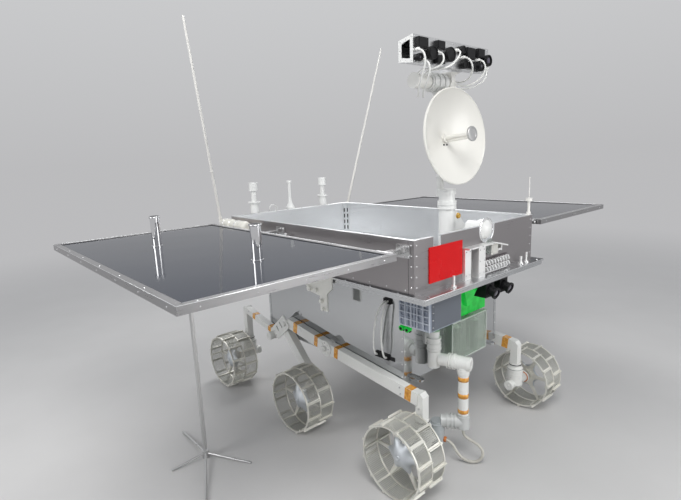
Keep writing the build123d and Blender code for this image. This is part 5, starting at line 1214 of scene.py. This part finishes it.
BORDER_WHITE = lacquer("border_white", (0.84, 0.84, 0.82), 0.32, 0.3)
assemble("head_end_borders", end_border, HEAD_ENDS, "head", BORDER_WHITE)
PLUG = (
    (0.0060, 0), (0.0060, 0.003), (0.0069, 0.0035), (0.0069, 0.0055), (0.0060, 0.006), (0.0060, 0.008),
    (0.0069, 0.0085), (0.0069, 0.0105), (0.0056, 0.0112), (0.0056, 0.0165), (0.0046, 0.0175),
)
PLUG_WHITE = lacquer("plug_white", (0.84, 0.84, 0.81), 0.36, 0.2, 40.0, 0.08, 0.05)
plugs = [
    (points[0], Vector(points[1]) - Vector(points[0]), PLUG, 20) for _, kind, points in CORD_ROUTES if kind == HEAD_LEAD
]
assemble("head_lead_plugs", turned, plugs, "head", PLUG_WHITE, True)
# Stepped face plates and cooling ribs of the cameras
faces = []
for y, z, width, height, depth in (
    (-0.230, 1.676, 0.056, 0.036, 0.016),
    (-0.124, 1.678, 0.046, 0.030, 0.018),
    (-0.126, 1.626, 0.050, 0.030, 0.018),
    (0.074, 1.668, 0.056, 0.044, 0.018),
    (0.150, 1.677, 0.050, 0.034, 0.018),
    (0.098, 1.626, 0.040, 0.026, 0.014),
):
    front, half_y, half_z = HEAD_FRONT + depth, width / 2 - 0.003, height / 2 - 0.003
    faces.append(((front - 0.001, y - half_y, z - half_z), (front + 0.0014, y + half_y, z + half_z), 0.0006))
    for n in range(4):
        rib, top = y - width / 2 + 0.008 + n * (width - 0.018) / 3, z + height / 2
        faces.append(((HEAD_FRONT + 0.003, rib, top - 0.0006), (front - 0.002, rib + 0.002, top + 0.0016), 0.0004))
assemble("camera_faces", bevelled_box, faces, "head", CAMERA_BLACK)
lenses, rings = [], []
for y, z, radius, length in (
    (-0.172, 1.646, 0.024, 0.020),
    (-0.056, 1.652, 0.027, 0.016),
    (-0.252, 1.622, 0.013, 0.022),
    (0.036, 1.624, 0.017, 0.020),
    (0.024, 1.678, 0.015, 0.018),
    (0.150, 1.626, 0.020, 0.022),
    (0.200, 1.652, 0.023, 0.024),
):
    inner = radius - 0.0042
    dome = ((inner, 0), (inner, 0.0004), (inner * 0.8, 0.0016), (inner * 0.45, 0.0028), (0, 0.0033))
    lenses.append(((HEAD_FRONT + length - 0.0058, y, z), (1, 0, 0), dome))
    grip = band(radius - 0.0006, radius + 0.0009, 0.0026, 0.0004)
    rings += [((HEAD_FRONT + length * share, y, z), (1, 0, 0), grip) for share in (0.35, 0.55, 0.75)]
assemble("head_lens_glass", turned, lenses, "head", LENS_GLASS, True)
assemble("head_lens_rings", turned, rings, "head", CAMERA_BLACK, True)
END_SCREWS = (
    (0.486, 1.6205), (0.486, 1.6840), (0.5395, 1.6125), (0.5395, 1.6950), (0.5125, 1.6170), (0.5125, 1.6895),
    (0.4845, 1.6525),
)
screws = [((x, y, z), (0, way, 0)) for y, way in HEAD_ENDS for x, z in END_SCREWS]
for x, z, count, way in (
    (HEAD_FRONT, 1.6095, 9, (1, 0, 0)),
    (HEAD_FRONT, 1.6985, 9, (1, 0, 0)),
    (0.4850, 1.6916, 7, (-0.2, 0, 1)),
    (0.5390, 1.7024, 7, (-0.2, 0, 1)),
):
    screws += row((x, -0.262, z), (x, 0.218, z), count, way)
fasteners("head_screws", "head", "fixture_metal", screws, 0.0028, 0.0014, 10, 0.7)

# Robot arm: white plastic pipe fittings with ribbed unions, amber film tape round the tube and a grey lower elbow.
# It ends in a grey enamelled instrument head with a copper-coloured cable plug.
ARM_WAY = Vector((0.94888, 0.31565, 0))
SHOULDER = Vector((0.577, -0.190, 0.430))
ELBOW, WRIST = (0.69656, -0.15023), (0.61656, -0.21977)
PIPE_WHITE = lacquer("pipe_white_plastic", (0.82, 0.82, 0.79), 0.24, 0.6, 15.0, 0.06, 0.03)
dress(PIPE_WHITE, "arm_shoulder", "arm_link")
FOREARM_WHITE = lacquer("forearm_plastic", (0.82, 0.82, 0.79), 0.26, 0.25, 15.0, 0.06, 0.03)
second_tone(FOREARM_WHITE, {"Z": (0, 0.2065)}, (0.56, 0.57, 0.56), 0.0, 0.44)
dress(FOREARM_WHITE, "arm_forearm")
INSTRUMENT_GREY = lacquer("instrument_grey_enamel", (0.42, 0.45, 0.46), 0.34, 0.3, 30.0, 0.12, 0.06)
dress(INSTRUMENT_GREY, "instrument_head")
dress(CAMERA_BLACK, "side_grommets")
tapes = [
    ((*ELBOW, low), UP, band(0.0212, 0.0223, high - low, 0.0003), 40)
    for low, high in ((0.3547, 0.3742), (0.2813, 0.3009), (0.2128, 0.2300))
]
assemble("arm_tapes", turned, tapes, "forearm", TAPE_AMBER, True)
union = band(0.0282, 0.0300, 0.0038)
rings = [(SHOULDER + ARM_WAY * along, ARM_WAY, union, 40) for along in (0.096, 0.106, 0.116, 0.142)]
for z, radius in ((0.388, 0.0250), (0.402, 0.0270), (0.410, 0.0270), (0.209, 0.0225)):
    rings.append(((*ELBOW, z), UP, band(radius - 0.0008, radius + 0.0010, 0.0038), 40))
assemble("arm_rings", turned, rings, "forearm", PIPE_WHITE, True)
INSTRUMENT_FOOT = (
    (0.0235, -0.001), (0.0235, 0.001), (0.019, 0.003), (0.019, 0.006), (0.0165, 0.0065), (0.0160, 0.0045), (0, 0.0045),
)
rings = [((*WRIST, z), UP, band(0.0294, 0.0310, 0.0036), 40) for z in (0.0885, 0.128, 0.134, 0.1605)]
rings.append(((*WRIST, 0.0785), (0, 0, -1), INSTRUMENT_FOOT, 36))
assemble("instrument_rings", turned, rings, "forearm", INSTRUMENT_GREY, True)
PLUG_WAY = Vector((0.036, 0.014, -0.004)).normalized()
CABLE_PLUG = (
    (0.0098, 0), (0.0116, 0.0006), (0.0116, 0.0050), (0.0108, 0.0056), (0.0116, 0.0062), (0.0116, 0.0098),
    (0.0080, 0.0106),
)
plug = [(Vector((*WRIST, 0.096)) + PLUG_WAY * 0.029, PLUG_WAY, CABLE_PLUG)]
assemble("instrument_plug", turned, plug, "forearm", MOTOR_ORANGE, True)

# Display stand: a brushed steel strip pole with a padded head below the right wing, on a hub with four rod feet.
# It belongs to the exhibition and stays on the floor when the wing folds.
dress(bright_sheet("stand_brushed_steel", (0.60, 0.60, 0.60), 0.24, 0.40, (30, 30, 6), 0.03, 0.08), "display_stand")
